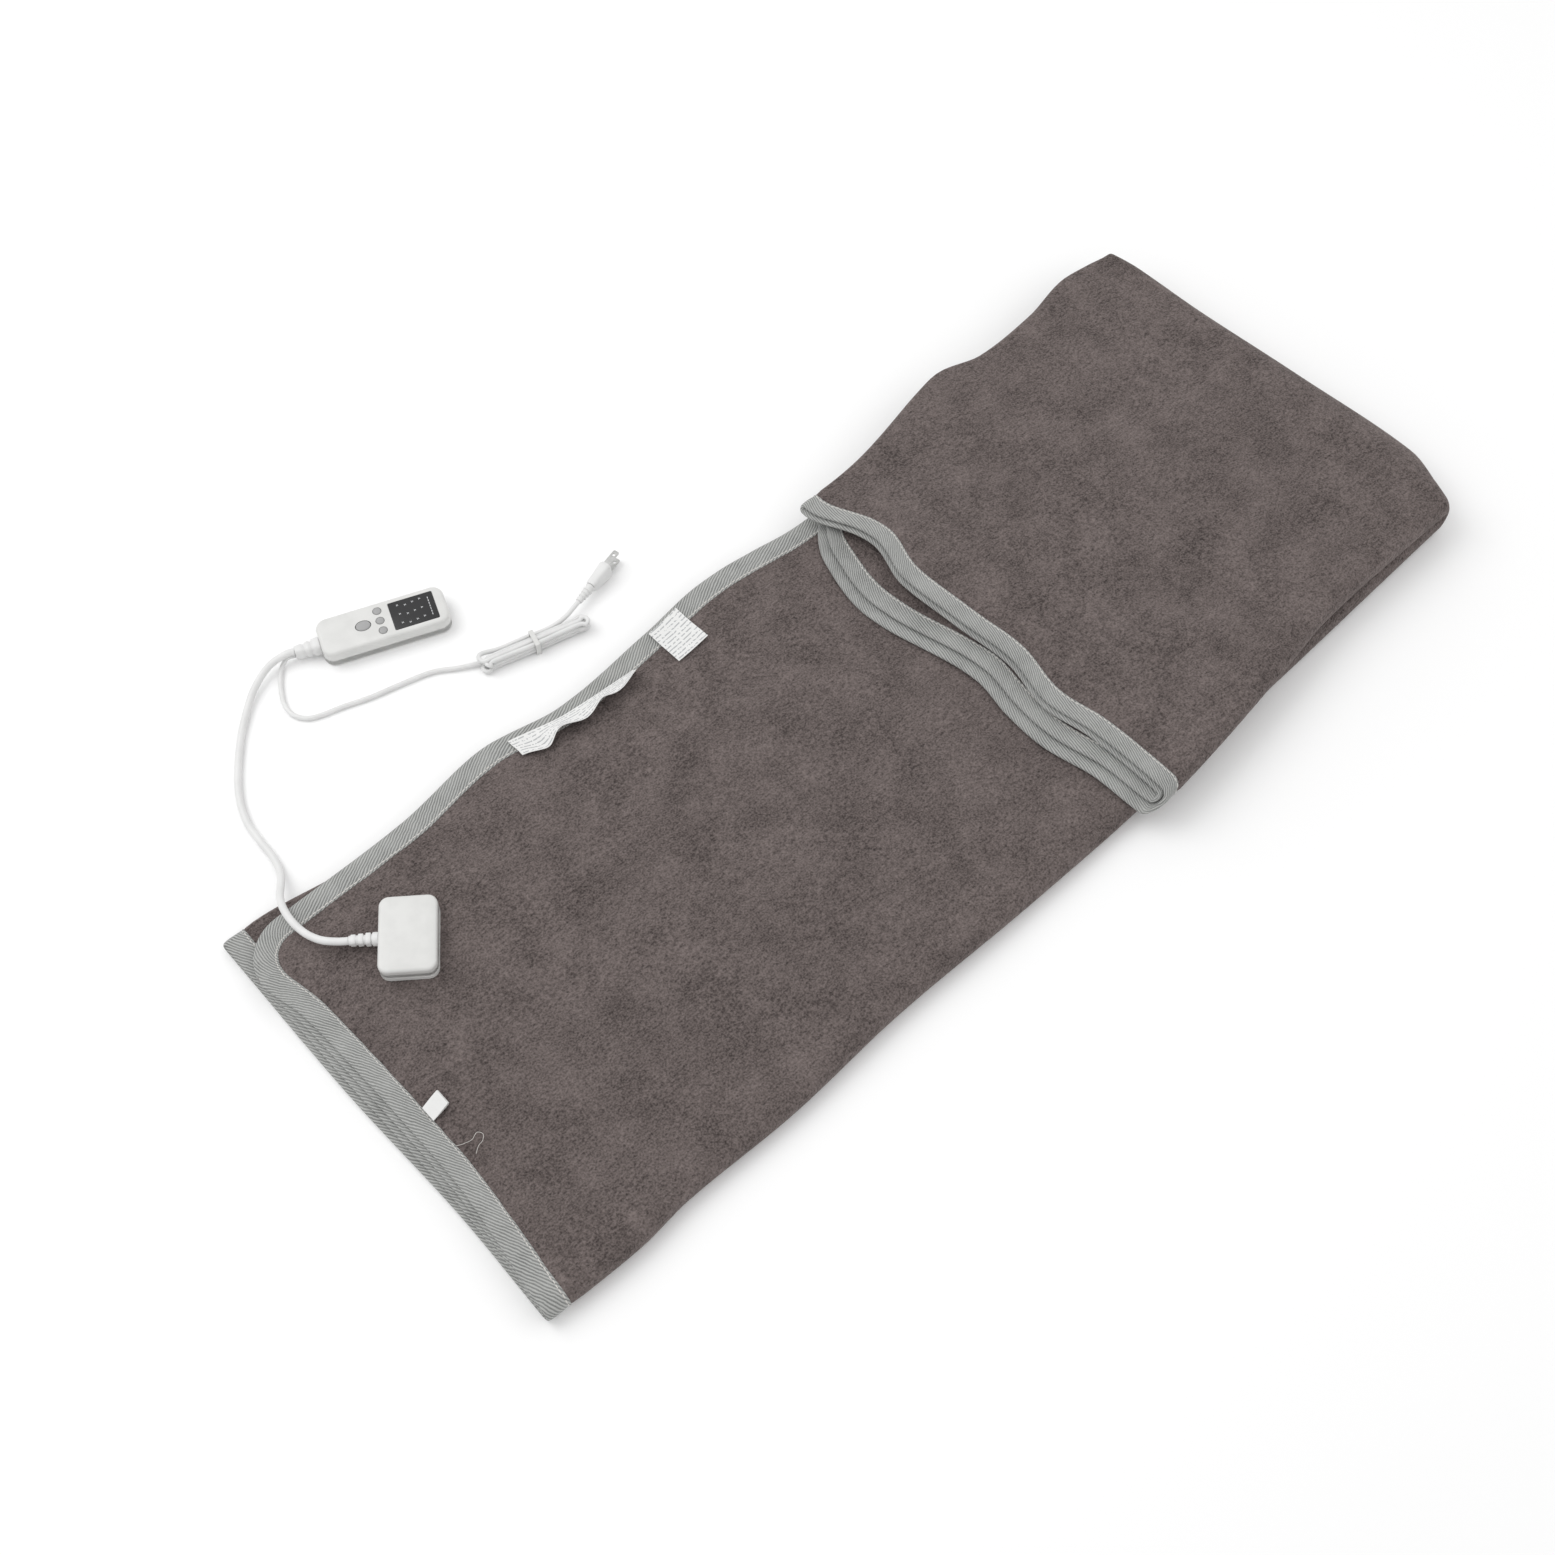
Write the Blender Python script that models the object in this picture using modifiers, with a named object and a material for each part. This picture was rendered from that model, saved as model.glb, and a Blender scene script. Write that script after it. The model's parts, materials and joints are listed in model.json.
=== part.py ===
"""Folded electric heating blanket with a lift-off connector, a corded hand controller and a mains lead.

Metres, +Z up. The blanket is sewn flat and then folded by one function: the width is folded in four,
and the far end is folded back on top. X runs from the near hem to the far fold, and Y to the free edges.
"""

import math

import bmesh
import bpy
from mathutils import Matrix, Vector

# --- Blanket, folded -------------------------------------------------------------------------------
NEAR_HEM_X = -0.575
STACK_LENGTH = 1.128
FLAP_LENGTH = 0.436
LOWER_LAYER_REACH = 0.034
FOLDED_WIDTH = 0.458
EDGE_SETBACK = 0.014
CORNER_RADIUS = 0.048
CORNER_STEPS = 6
TURN_STEPS = 8
BEND_STEPS = 8

# --- Blanket, layers -------------------------------------------------------------------------------
SKIN = 0.0018
CORE = 0.0018
LAYER_GAP = 0.0004
PINCHED_SKIN = 0.0011
PINCHED_CORE = 0.0006
BAND_WIDTH = 0.022
BAND_WALL = 0.0008
PINCH_SLOPE = 0.0016
FOLD_SEAM = 0.0003
FIT = 0.0003

PANEL = 2 * SKIN + CORE
PITCH = PANEL + LAYER_GAP
STACK_HEIGHT = 3 * PITCH + PANEL
HINGE_Z = STACK_HEIGHT + LAYER_GAP / 2
FOLD_X = NEAR_HEM_X + STACK_LENGTH
EDGE_Y = FOLDED_WIDTH / 2 - EDGE_SETBACK
OUTER_TURN = 1.5 * PITCH
INNER_TURN = 0.5 * PITCH
RIGHT_TURN_Y = -FOLDED_WIDTH / 2 + OUTER_TURN + PANEL / 2
LEFT_TURN_Y = FOLDED_WIDTH / 2 - INNER_TURN - PANEL / 2

# --- Heating wire ----------------------------------------------------------------------------------
WIRE_RADIUS = 0.0006
WIRE_EDGE = 0.060
WIRE_END = 0.036
STACK_RUNS = 15
FLAP_RUNS = 16
WIRE_START = 0.160

# --- Labels ----------------------------------------------------------------------------------------
LABEL_WALL = 0.0004
CARE_LABEL_SIZE = (0.038, 0.045)
CARE_LABEL_X = -0.076
WARNING_LABEL_SIZE = (0.130, 0.026)
WARNING_LABEL_X = -0.200
WARNING_LABEL_RISE = 0.011
TAG_SIZE = (0.026, 0.015)
TAG_Y = -0.019
TAG_BULGE = 0.0016

# --- Connector -------------------------------------------------------------------------------------
CONNECTOR_PLACE = (-0.4545, 0.1135)
CONNECTOR_TURN = math.radians(51.0)
CONNECTOR_SIZE = (0.072, 0.051)
CONNECTOR_RADIUS = 0.009
BASE_HEIGHT = 0.0050
PLUG_LOWER_HEIGHT = 0.0066
PLUG_UPPER_HEIGHT = 0.0066
PLUG_WALL = 0.0018
BACK_PLATE_RADIUS = 0.022
BACK_PLATE_WALL = 0.0012
PIN_RADIUS = 0.0015
PIN_SPACING = 0.020
PIN_STAND = 0.0065
RIVET_SPACING = 0.034
RIVET_RADIUS = 0.0016
CONTACT_WALL = 0.0010
PLUG_SCREW_SPACING = 0.056
RELIEF_LENGTH = 0.026
RELIEF_RADIUS = 0.0062
RELIEF_NECK = 0.0038

# --- Controller ------------------------------------------------------------------------------------
CONTROLLER_PLACE = (-0.2673, 0.3945)
CONTROLLER_TURN = math.radians(-22.6)
CONTROLLER_SIZE = (0.124, 0.043)
CONTROLLER_RADIUS = 0.011
LOWER_HEIGHT = 0.0090
UPPER_HEIGHT = 0.0110
SHELL_WALL = 0.0020
WINDOW_SIZE = (0.0436, 0.0320)
WINDOW_X = 0.0304
WINDOW_WALL = 0.0012
WINDOW_LEDGE = 0.0018
BUTTON_ROW_X = -0.0023
BUTTON_PITCH = 0.0114
BUTTON_RADIUS = 0.0040
POWER_X = -0.0188
POWER_SIZE = (0.0145, 0.0110)
BUTTON_PROUD = 0.0008
BUTTON_FLANGE = 0.0012
BUTTON_TRAVEL = 0.0006
BOARD_SIZE = (0.104, 0.034)
BOARD_Z = 0.0078
BOARD_WALL = 0.0016
CONTROLLER_SCREW_X = (-0.044, 0.0568)
POST_RADIUS = 0.0028
SCREW_RADIUS = 0.0011
HEAD_RADIUS = 0.0024
BOOT_LENGTH = 0.024
BOOT_ROOT = (0.0155, 0.0165)
BOOT_TIP = (0.0100, 0.0140)
BOOT_Z = 0.0096

# --- Cords -----------------------------------------------------------------------------------------
LINK_RADIUS = 0.0035
MAINS_RADIUS = 0.0023
CORD_END_GAP = 0.0003
CORD_LEAD = 0.0085
LINK_RISE = 0.0030
MAINS_DROP = 0.0038
HANK_PLACE = (-0.1745, 0.2835)
HANK_TURN = math.radians(-15.5)
HANK_SIZE = (0.106, 0.0150, 0.0142)
TIE_WIDTH = 0.0045
TIE_WALL = 0.0009

# --- Mains plug ------------------------------------------------------------------------------------
PLUG_FACE = (-0.0700, 0.3005)
PLUG_TURN = math.radians(13.7)
PLUG_BODY_LENGTH = 0.026
PLUG_BODY_SIZE = (0.0130, 0.0200)
PLUG_BODY_TAIL = (0.0105, 0.0130)
PLUG_BOOT_LENGTH = 0.020
BLADE_SIZE = (0.0175, 0.0064, 0.0015)
BLADE_SPACING = 0.0127

# The cords' own routes: hand-laid points from one end to the other.
LINK_ROUTE = (
    (-0.5115, 0.1630, 0.0325),
    (-0.5172, 0.1785, 0.0303),
    (-0.5186, 0.1960, 0.0286),
    (-0.5165, 0.2120, 0.0270),
    (-0.5115, 0.2250, 0.0232),
    (-0.5045, 0.2360, 0.0165),
    (-0.4975, 0.2470, 0.0098),
    (-0.4925, 0.2590, 0.0054),
    (-0.4895, 0.2740, 0.0038),
    (-0.4885, 0.2920, 0.0036),
    (-0.4850, 0.3190, 0.0036),
    (-0.4710, 0.3500, 0.0036),
    (-0.4420, 0.3870, 0.0038),
    (-0.4150, 0.4120, 0.0050),
    (-0.3950, 0.4255, 0.0072),
    (-0.3740, 0.4328, 0.0100),
)
MAINS_ROUTE = (
    (-0.3650, 0.4270, 0.0032),
    (-0.3730, 0.4185, 0.0025),
    (-0.3805, 0.4070, 0.0024),
    (-0.3870, 0.3930, 0.0024),
    (-0.3875, 0.3790, 0.0024),
    (-0.3800, 0.3670, 0.0024),
    (-0.3670, 0.3605, 0.0024),
    (-0.3480, 0.3545, 0.0024),
    (-0.3230, 0.3450, 0.0026),
    (-0.2940, 0.3370, 0.0030),
    (-0.2640, 0.3275, 0.0040),
    (-0.2440, 0.3120, 0.0058),
)
TAIL_ROUTE = (
    (-0.1470, 0.2878, 0.0052),
    (-0.1350, 0.2864, 0.0078),
)


def clear_scene():
    """Start from an empty scene."""
    for item in list(bpy.data.objects):
        bpy.data.objects.remove(item, do_unlink=True)
    for group in list(bpy.data.collections):
        bpy.data.collections.remove(group)


def new_collection(name):
    """A collection linked to the scene."""
    group = bpy.data.collections.new(name)
    bpy.context.scene.collection.children.link(group)
    return group


def finish(name, colour, roughness, metallic=0.0):
    """A plain Principled material."""
    material = bpy.data.materials.new(name)
    material.use_nodes = True
    shader = material.node_tree.nodes["Principled BSDF"]
    shader.inputs["Base Color"].default_value = (*colour, 1.0)
    shader.inputs["Roughness"].default_value = roughness
    shader.inputs["Metallic"].default_value = metallic
    return material


clear_scene()
PARTS = new_collection("heating_blanket")
CUTTERS = new_collection("cutters")
FLEECE = finish("fleece", (0.125, 0.105, 0.099), 0.95)
BINDING = finish("binding", (0.36, 0.37, 0.36), 0.85)
WIRE = finish("wire_jacket", (0.70, 0.62, 0.45), 0.5)
LABEL = finish("label", (0.84, 0.84, 0.83), 0.8)
WHITE = finish("white_plastic", (0.82, 0.82, 0.80), 0.38)
CORD = finish("cord_jacket", (0.84, 0.84, 0.83), 0.45)
GREY = finish("grey_button", (0.38, 0.38, 0.38), 0.5)
SCREEN = finish("screen", (0.02, 0.02, 0.022), 0.15)
METAL = finish("contact_metal", (0.80, 0.70, 0.45), 0.3, 1.0)
STEEL = finish("steel", (0.60, 0.60, 0.60), 0.35, 1.0)
BOARD = finish("circuit_board", (0.05, 0.22, 0.10), 0.5)
RUBBER = finish("silicone", (0.55, 0.55, 0.54), 0.7)
BLACK = finish("component", (0.03, 0.03, 0.03), 0.5)


# --- Making objects ---------------------------------------------------------------------------------
def add_part(name, data, material, parent=None):
    """Put a mesh or curve in the model under its own name, with its own material."""
    part = bpy.data.objects.new(name, data)
    data.materials.append(material)
    PARTS.objects.link(part)
    part.parent = parent
    return part


def mesh_from(name, shape):
    """Turn a bmesh into a mesh."""
    mesh = bpy.data.meshes.new(name)
    shape.to_mesh(mesh)
    shape.free()
    return mesh


def solid(name, shape, material, parent=None, smooth=False):
    """A part made from a bmesh."""
    part = add_part(name, mesh_from(name, shape), material, parent)
    if smooth:
        part.data.shade_smooth()
        part.data.set_sharp_from_angle(angle=math.radians(35))
    return part


def boolean(part, shape, parent=None, operation="DIFFERENCE"):
    """Cut a bmesh from a part, or join it on. The helper stays in the cutters collection."""
    name = f"{part.name}_helper_{len(part.modifiers) + 1}"
    helper = bpy.data.objects.new(name, mesh_from(name, shape))
    CUTTERS.objects.link(helper)
    helper.parent = parent
    helper.hide_render = True
    helper.display_type = "WIRE"
    modifier = part.modifiers.new(name, "BOOLEAN")
    modifier.operation = operation
    modifier.object = helper
    modifier.solver = "EXACT"
    return part


def block(size, low, centre=(0.0, 0.0), corner=0.0, top=0.0, bottom=0.0, steps=4):
    """A box on centre from height low, its upright corners rounded and its top or bottom edges eased."""
    shape = bmesh.new()
    bmesh.ops.create_cube(shape, size=1.0)
    bmesh.ops.scale(shape, vec=size, verts=shape.verts)
    bmesh.ops.translate(shape, vec=(*centre, low + size[2] / 2), verts=shape.verts)
    if corner:
        upright = [e for e in shape.edges if abs(e.verts[0].co.z - e.verts[1].co.z) > size[2] / 2]
        bmesh.ops.bevel(shape, geom=upright, offset=corner, segments=steps, profile=0.5, affect="EDGES")
    for height, width in ((low + size[2], top), (low, bottom)):
        if width:
            rim = [e for e in shape.edges if all(abs(v.co.z - height) < 1e-6 for v in e.verts)]
            bmesh.ops.bevel(shape, geom=rim, offset=width, segments=2, profile=0.5, affect="EDGES")
    return shape


def rod(radius, low, high, centre=(0.0, 0.0), sides=16, stretch=(1.0, 1.0)):
    """An upright cylinder, or an oval one when stretched."""
    shape = bmesh.new()
    bmesh.ops.create_cone(
        shape, cap_ends=True, segments=sides, radius1=radius, radius2=radius, depth=high - low
    )
    bmesh.ops.scale(shape, vec=(*stretch, 1.0), verts=shape.verts)
    bmesh.ops.translate(shape, vec=(*centre, (low + high) / 2), verts=shape.verts)
    return shape


def turned(name, profile, material, parent, place=(0, 0, 0), turn=(0, 0, 0), steps=16):
    """A turned piece from a profile of (radius, height) points that runs from its top down to its foot."""
    mesh = bpy.data.meshes.new(name)
    points = [(radius, 0.0, height) for radius, height in profile]
    mesh.from_pydata(points, [(i, i + 1) for i in range(len(points) - 1)], [])
    part = add_part(name, mesh, material, parent)
    part.location = place
    part.rotation_euler = turn
    spin = part.modifiers.new("turn", "SCREW")
    spin.steps = steps
    spin.render_steps = steps
    spin.use_merge_vertices = True
    spin.merge_threshold = 0.00001
    spin.use_smooth_shade = True
    return part


def frame(name, place, turn, height=0.0):
    """An empty that carries the pieces of one unit."""
    empty = bpy.data.objects.new(name, None)
    empty.location = (*place, height)
    empty.rotation_euler = (0.0, 0.0, turn)
    PARTS.objects.link(empty)
    return empty


# --- Folding ----------------------------------------------------------------------------------------
def layer_z(layer):
    """The middle height of a layer, from 1 at the top to 4 at the bottom."""
    return PANEL / 2 + (4 - layer) * PITCH


def run(start_y, height, heading, facing):
    """A flat leg of the folded section."""
    return lambda along, lift: (start_y + heading * along, height + facing * lift)


def turn_leg(centre_y, centre_z, radius, side, start, outward):
    """A half-round leg of the folded section."""

    def place(along, lift):
        reach = radius + outward * lift
        angle = along / radius
        return centre_y + side * reach * math.sin(angle), centre_z + start * reach * math.cos(angle)

    return place


def section_legs():
    """The folded section from free edge to free edge, as (length, function) legs."""
    middle = (layer_z(1) + layer_z(4)) / 2
    left_middle = (layer_z(3) + layer_z(4)) / 2
    short_run = EDGE_Y - RIGHT_TURN_Y
    long_run = LEFT_TURN_Y - RIGHT_TURN_Y
    return (
        (short_run, run(EDGE_Y, layer_z(1), -1, 1)),
        (math.pi * OUTER_TURN, turn_leg(RIGHT_TURN_Y, middle, OUTER_TURN, -1, 1, 1)),
        (long_run, run(RIGHT_TURN_Y, layer_z(4), 1, -1)),
        (math.pi * INNER_TURN, turn_leg(LEFT_TURN_Y, left_middle, INNER_TURN, 1, -1, 1)),
        (long_run, run(LEFT_TURN_Y, layer_z(3), -1, 1)),
        (math.pi * INNER_TURN, turn_leg(RIGHT_TURN_Y, middle, INNER_TURN, -1, -1, -1)),
        (short_run, run(RIGHT_TURN_Y, layer_z(2), 1, -1)),
    )


LEGS = section_legs()
FLAT_WIDTH = sum(length for length, _ in LEGS)


def fold_across(across, lift):
    """The (y, z) of a point of the flat width that stands so far off the blanket's middle surface."""
    for length, place in LEGS[:-1]:
        if across <= length:
            return place(across, lift)
        across -= length
    return LEGS[-1][1](across, lift)


def width_stations():
    """The places across the flat width where the section bends."""
    found = []
    start = 0.0
    for number, (length, _) in enumerate(LEGS):
        if number % 2:
            found += [start + length * step / TURN_STEPS for step in range(TURN_STEPS + 1)]
        start += length
    return found


STATIONS = width_stations()


def in_stack(across, along, lift):
    """Fold a flat point of the long part; along runs from the near hem."""
    y, z = fold_across(across, lift)
    return Vector((NEAR_HEM_X + along, y, z))


def in_bend(across, angle, lift):
    """Fold a flat point of the part that rounds the far fold; its second value is the angle."""
    y, z = fold_across(across, lift)
    drop = HINGE_Z - z
    return Vector((FOLD_X + FOLD_SEAM / 2 + drop * math.sin(angle), y, HINGE_Z - drop * math.cos(angle)))


def in_flap(across, along, lift):
    """Fold a flat point of the turned-back part; along runs from its hem."""
    y, z = fold_across(across, lift)
    stretch = 1 + LOWER_LAYER_REACH / FLAP_LENGTH * (z - layer_z(4)) / (3 * PITCH)
    back = (FLAP_LENGTH - along - FOLD_SEAM / 2) * stretch + FOLD_SEAM / 2
    return Vector((FOLD_X - back, y, 2 * HINGE_Z - z))


def folded(shape, place):
    """Crease a flat bmesh at every station and carry it into the folded blanket."""
    for station in STATIONS:
        geometry = shape.verts[:] + shape.edges[:] + shape.faces[:]
        crease = {"plane_co": (station, 0, 0), "plane_no": (1, 0, 0)}
        bmesh.ops.bisect_plane(shape, geom=geometry, dist=1e-7, **crease)
    if place is in_bend:
        for step in range(1, BEND_STEPS):
            geometry = shape.verts[:] + shape.edges[:] + shape.faces[:]
            crease = {"plane_co": (0, math.pi * step / BEND_STEPS, 0), "plane_no": (0, 1, 0)}
            bmesh.ops.bisect_plane(shape, geom=geometry, dist=1e-7, **crease)
    for vert in shape.verts:
        vert.co = place(vert.co.x, vert.co.y, vert.co.z)
    if place is in_flap:
        bmesh.ops.reverse_faces(shape, faces=shape.faces)
    return shape


# --- Flat pieces ------------------------------------------------------------------------------------
def flat_outline(length, margin, corner, start=0.0):
    """One flat face: width along X, length along Y from its start, the corners there rounded."""
    shape = bmesh.new()
    bmesh.ops.create_grid(shape, x_segments=1, y_segments=1, size=0.5)
    for vert in shape.verts:
        vert.co.x = FLAT_WIDTH / 2 + vert.co.x * (FLAT_WIDTH - 2 * margin)
        vert.co.y = start + margin + (vert.co.y + 0.5) * (length - margin)
    if corner:
        hem = [vert for vert in shape.verts if vert.co.y < start + length / 2]
        bmesh.ops.bevel(
            shape, geom=hem, offset=corner - margin, segments=CORNER_STEPS, profile=0.5, affect="VERTICES"
        )
    return shape


def trim_to(shape, low, high):
    """Cut a flat bmesh square at both ends of its length."""
    for level, normal in ((low, -1), (high, 1)):
        geometry = shape.verts[:] + shape.edges[:] + shape.faces[:]
        cut = {"plane_co": (0, level, 0), "plane_no": (0, normal, 0), "clear_outer": True}
        bmesh.ops.bisect_plane(shape, geom=geometry, dist=1e-7, **cut)
    return shape


def edge_distance(across, along, corner):
    """How far a flat point lies inside the blanket's cut edge."""
    near = min(across, FLAT_WIDTH - across)
    if near < corner and along < corner:
        return corner - math.hypot(corner - near, corner - along)
    return min(near, along)


def flat_skin(length, side, corner):
    """One fleece skin, thick in the field and pinched thin under the binding."""
    margin = BAND_WALL + FIT
    start = 0.0 if corner else -3 * BAND_WIDTH
    shape = flat_outline(length + 3 * BAND_WIDTH - start, margin, corner, start)
    centre = shape.faces[:]
    for width in (BAND_WIDTH + FIT - margin, PINCH_SLOPE):
        bmesh.ops.inset_region(shape, faces=centre, thickness=width, use_even_offset=True, use_boundary=True)
    trim_to(shape, 0.0, length)
    sheet = shape.faces[:]
    upper = bmesh.ops.extrude_face_region(shape, geom=sheet)["geom"]
    top = {item for item in upper if isinstance(item, bmesh.types.BMVert)}
    for vert in shape.verts:
        inside = edge_distance(vert.co.x, vert.co.y if corner else length, corner) - BAND_WIDTH - FIT
        full = min(max(inside / PINCH_SLOPE, 0.0), 1.0)
        inner = (PINCHED_CORE + (CORE - PINCHED_CORE) * full) / 2
        outer = inner + PINCHED_SKIN + (SKIN - PINCHED_SKIN) * full
        vert.co.z = side * (outer if vert in top else inner)
    bmesh.ops.recalc_face_normals(shape, faces=shape.faces)
    return shape


def thicken(shape, half):
    """Give a flat bmesh an even thickness about its middle."""
    for vert in shape.verts:
        vert.co.z = -half
    upper = bmesh.ops.extrude_face_region(shape, geom=shape.faces[:])["geom"]
    for item in upper:
        if isinstance(item, bmesh.types.BMVert):
            item.co.z = half
    bmesh.ops.recalc_face_normals(shape, faces=shape.faces)
    return shape


def evaluated(part):
    """The bmesh that a part's modifiers give; the part is then removed."""
    graph = bpy.context.evaluated_depsgraph_get()
    shape = bmesh.new()
    shape.from_object(part, graph)
    helpers = [modifier.object for modifier in part.modifiers]
    for item in (part, *helpers):
        bpy.data.objects.remove(item, do_unlink=True)
    bmesh.ops.remove_doubles(shape, verts=shape.verts, dist=1e-7)
    return shape


def channel(rim, slot):
    """A folded tape: the flat rim with the blanket's edge slotted into it."""
    tape = solid("flat_tape", rim, BINDING)
    boolean(tape, slot)
    bpy.context.view_layer.update()
    return evaluated(tape)


def flat_binding(length):
    """The tape along both side edges and round the hem of one end."""
    rim = flat_outline(length + 3 * BAND_WIDTH, 0.0, CORNER_RADIUS)
    centre = rim.faces[:]
    bmesh.ops.inset_region(rim, faces=centre, thickness=BAND_WIDTH, use_even_offset=True, use_boundary=True)
    bmesh.ops.delete(rim, geom=centre, context="FACES")
    trim_to(rim, -BAND_WIDTH, length)
    thicken(rim, PINCHED_CORE / 2 + PINCHED_SKIN + FIT + BAND_WALL)
    slot = flat_outline(length + BAND_WIDTH, BAND_WALL, CORNER_RADIUS)
    thicken(slot, PINCHED_CORE / 2 + PINCHED_SKIN + FIT)
    return channel(rim, slot)


def bend_binding(at_far_edge):
    """The tape along one side edge where it rounds the far fold."""
    half = PINCHED_CORE / 2 + PINCHED_SKIN + FIT + BAND_WALL
    angle = math.pi
    rim = block((BAND_WIDTH, angle, 2 * half), -half, (BAND_WIDTH / 2, angle / 2))
    inside = half - BAND_WALL
    slot_centre = (BAND_WIDTH / 2 + BAND_WALL, angle / 2)
    slot = block((BAND_WIDTH, 2 * angle, 2 * inside), BAND_WALL - half, slot_centre)
    shape = channel(rim, slot)
    if at_far_edge:
        bmesh.ops.scale(shape, vec=(-1, 1, 1), verts=shape.verts)
        bmesh.ops.translate(shape, vec=(FLAT_WIDTH, 0, 0), verts=shape.verts)
        bmesh.ops.reverse_faces(shape, faces=shape.faces)
    return shape


def make_blanket():
    """The fleece skins and the edge tape, each in its three folded portions."""
    stack = STACK_LENGTH - FOLD_SEAM / 2
    flap = FLAP_LENGTH - FOLD_SEAM / 2
    for name, side in (("face_sheet", 1), ("back_sheet", -1)):
        solid(f"{name}_stack", folded(flat_skin(stack, side, CORNER_RADIUS), in_stack), FLEECE)
        solid(f"{name}_bend", folded(flat_skin(math.pi, side, 0.0), in_bend), FLEECE)
        solid(f"{name}_flap", folded(flat_skin(flap, side, CORNER_RADIUS), in_flap), FLEECE)
    solid("binding_stack", folded(flat_binding(stack), in_stack), BINDING)
    solid("binding_flap", folded(flat_binding(flap), in_flap), BINDING)
    solid("binding_bend_a", folded(bend_binding(False), in_bend), BINDING)
    solid("binding_bend_b", folded(bend_binding(True), in_bend), BINDING)


# --- Curves -----------------------------------------------------------------------------------------
def tube(name, points, radius, material, resolution=2):
    """A round wire or cord along the points, closed at both ends."""
    data = bpy.data.curves.new(name, "CURVE")
    data.dimensions = "3D"
    data.bevel_depth = radius
    data.bevel_resolution = resolution
    data.use_fill_caps = True
    line = data.splines.new("POLY")
    line.points.add(len(points) - 1)
    for knot, point in zip(line.points, points):
        knot.co = (*point, 1.0)
    return add_part(name, data, material)


def smooth_route(points, spacing):
    """Evenly spaced points of a smooth curve through hand-laid ones."""
    knots = [Vector(point) for point in points]
    knots = [2 * knots[0] - knots[1], *knots, 2 * knots[-1] - knots[-2]]
    fine = []
    for before, start, end, after in zip(knots, knots[1:], knots[2:], knots[3:]):
        for step in range(12):
            t = step / 12
            swing = (2 * before - 5 * start + 4 * end - after) * t * t
            swing += (3 * start - before - 3 * end + after) * t**3
            fine.append(start + ((end - before) * t + swing) / 2)
    fine.append(knots[-2])
    lengths = [(b - a).length for a, b in zip(fine, fine[1:])]
    total = sum(lengths)
    count = max(2, round(total / spacing))
    result = [fine[0]]
    passed = 0.0
    for start, end, length in zip(fine, fine[1:], lengths):
        while len(result) < count and passed + length >= total * len(result) / count:
            share = (total * len(result) / count - passed) / length
            result.append(start.lerp(end, share))
        passed += length
    result.append(fine[-1])
    return result


def serpentine(places, near, far, first_end, last_end):
    """A flat (across, along) route up and down the runs, with round turns between them."""
    half = (places[1] - places[0]) / 2
    route = [(places[0], first_end)]
    heading = 1 if first_end < (near + far) / 2 else -1
    for start, end in zip(places, places[1:]):
        level = far - half if heading > 0 else near + half
        for step in range(5):
            angle = math.pi * step / 4
            route.append((start + half * (1 - math.cos(angle)), level + heading * half * math.sin(angle)))
        heading = -heading
    route.append((places[-1], last_end))
    return route


def creased(route):
    """A flat route with a point wherever it crosses a crease."""
    result = [route[0]]
    for start, end in zip(route, route[1:]):
        crossed = [s for s in STATIONS if min(start[0], end[0]) + 1e-6 < s < max(start[0], end[0]) - 1e-6]
        for station in sorted(crossed, reverse=end[0] < start[0]):
            share = (station - start[0]) / (end[0] - start[0])
            result.append((station, start[1] + share * (end[1] - start[1])))
        result.append(end)
    return result


def wire(name, route, place):
    """A length of heating wire between the skins."""
    points = [place(across, along, 0.0) for across, along in creased(route)]
    tube(name, points, WIRE_RADIUS, WIRE, resolution=1)


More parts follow.
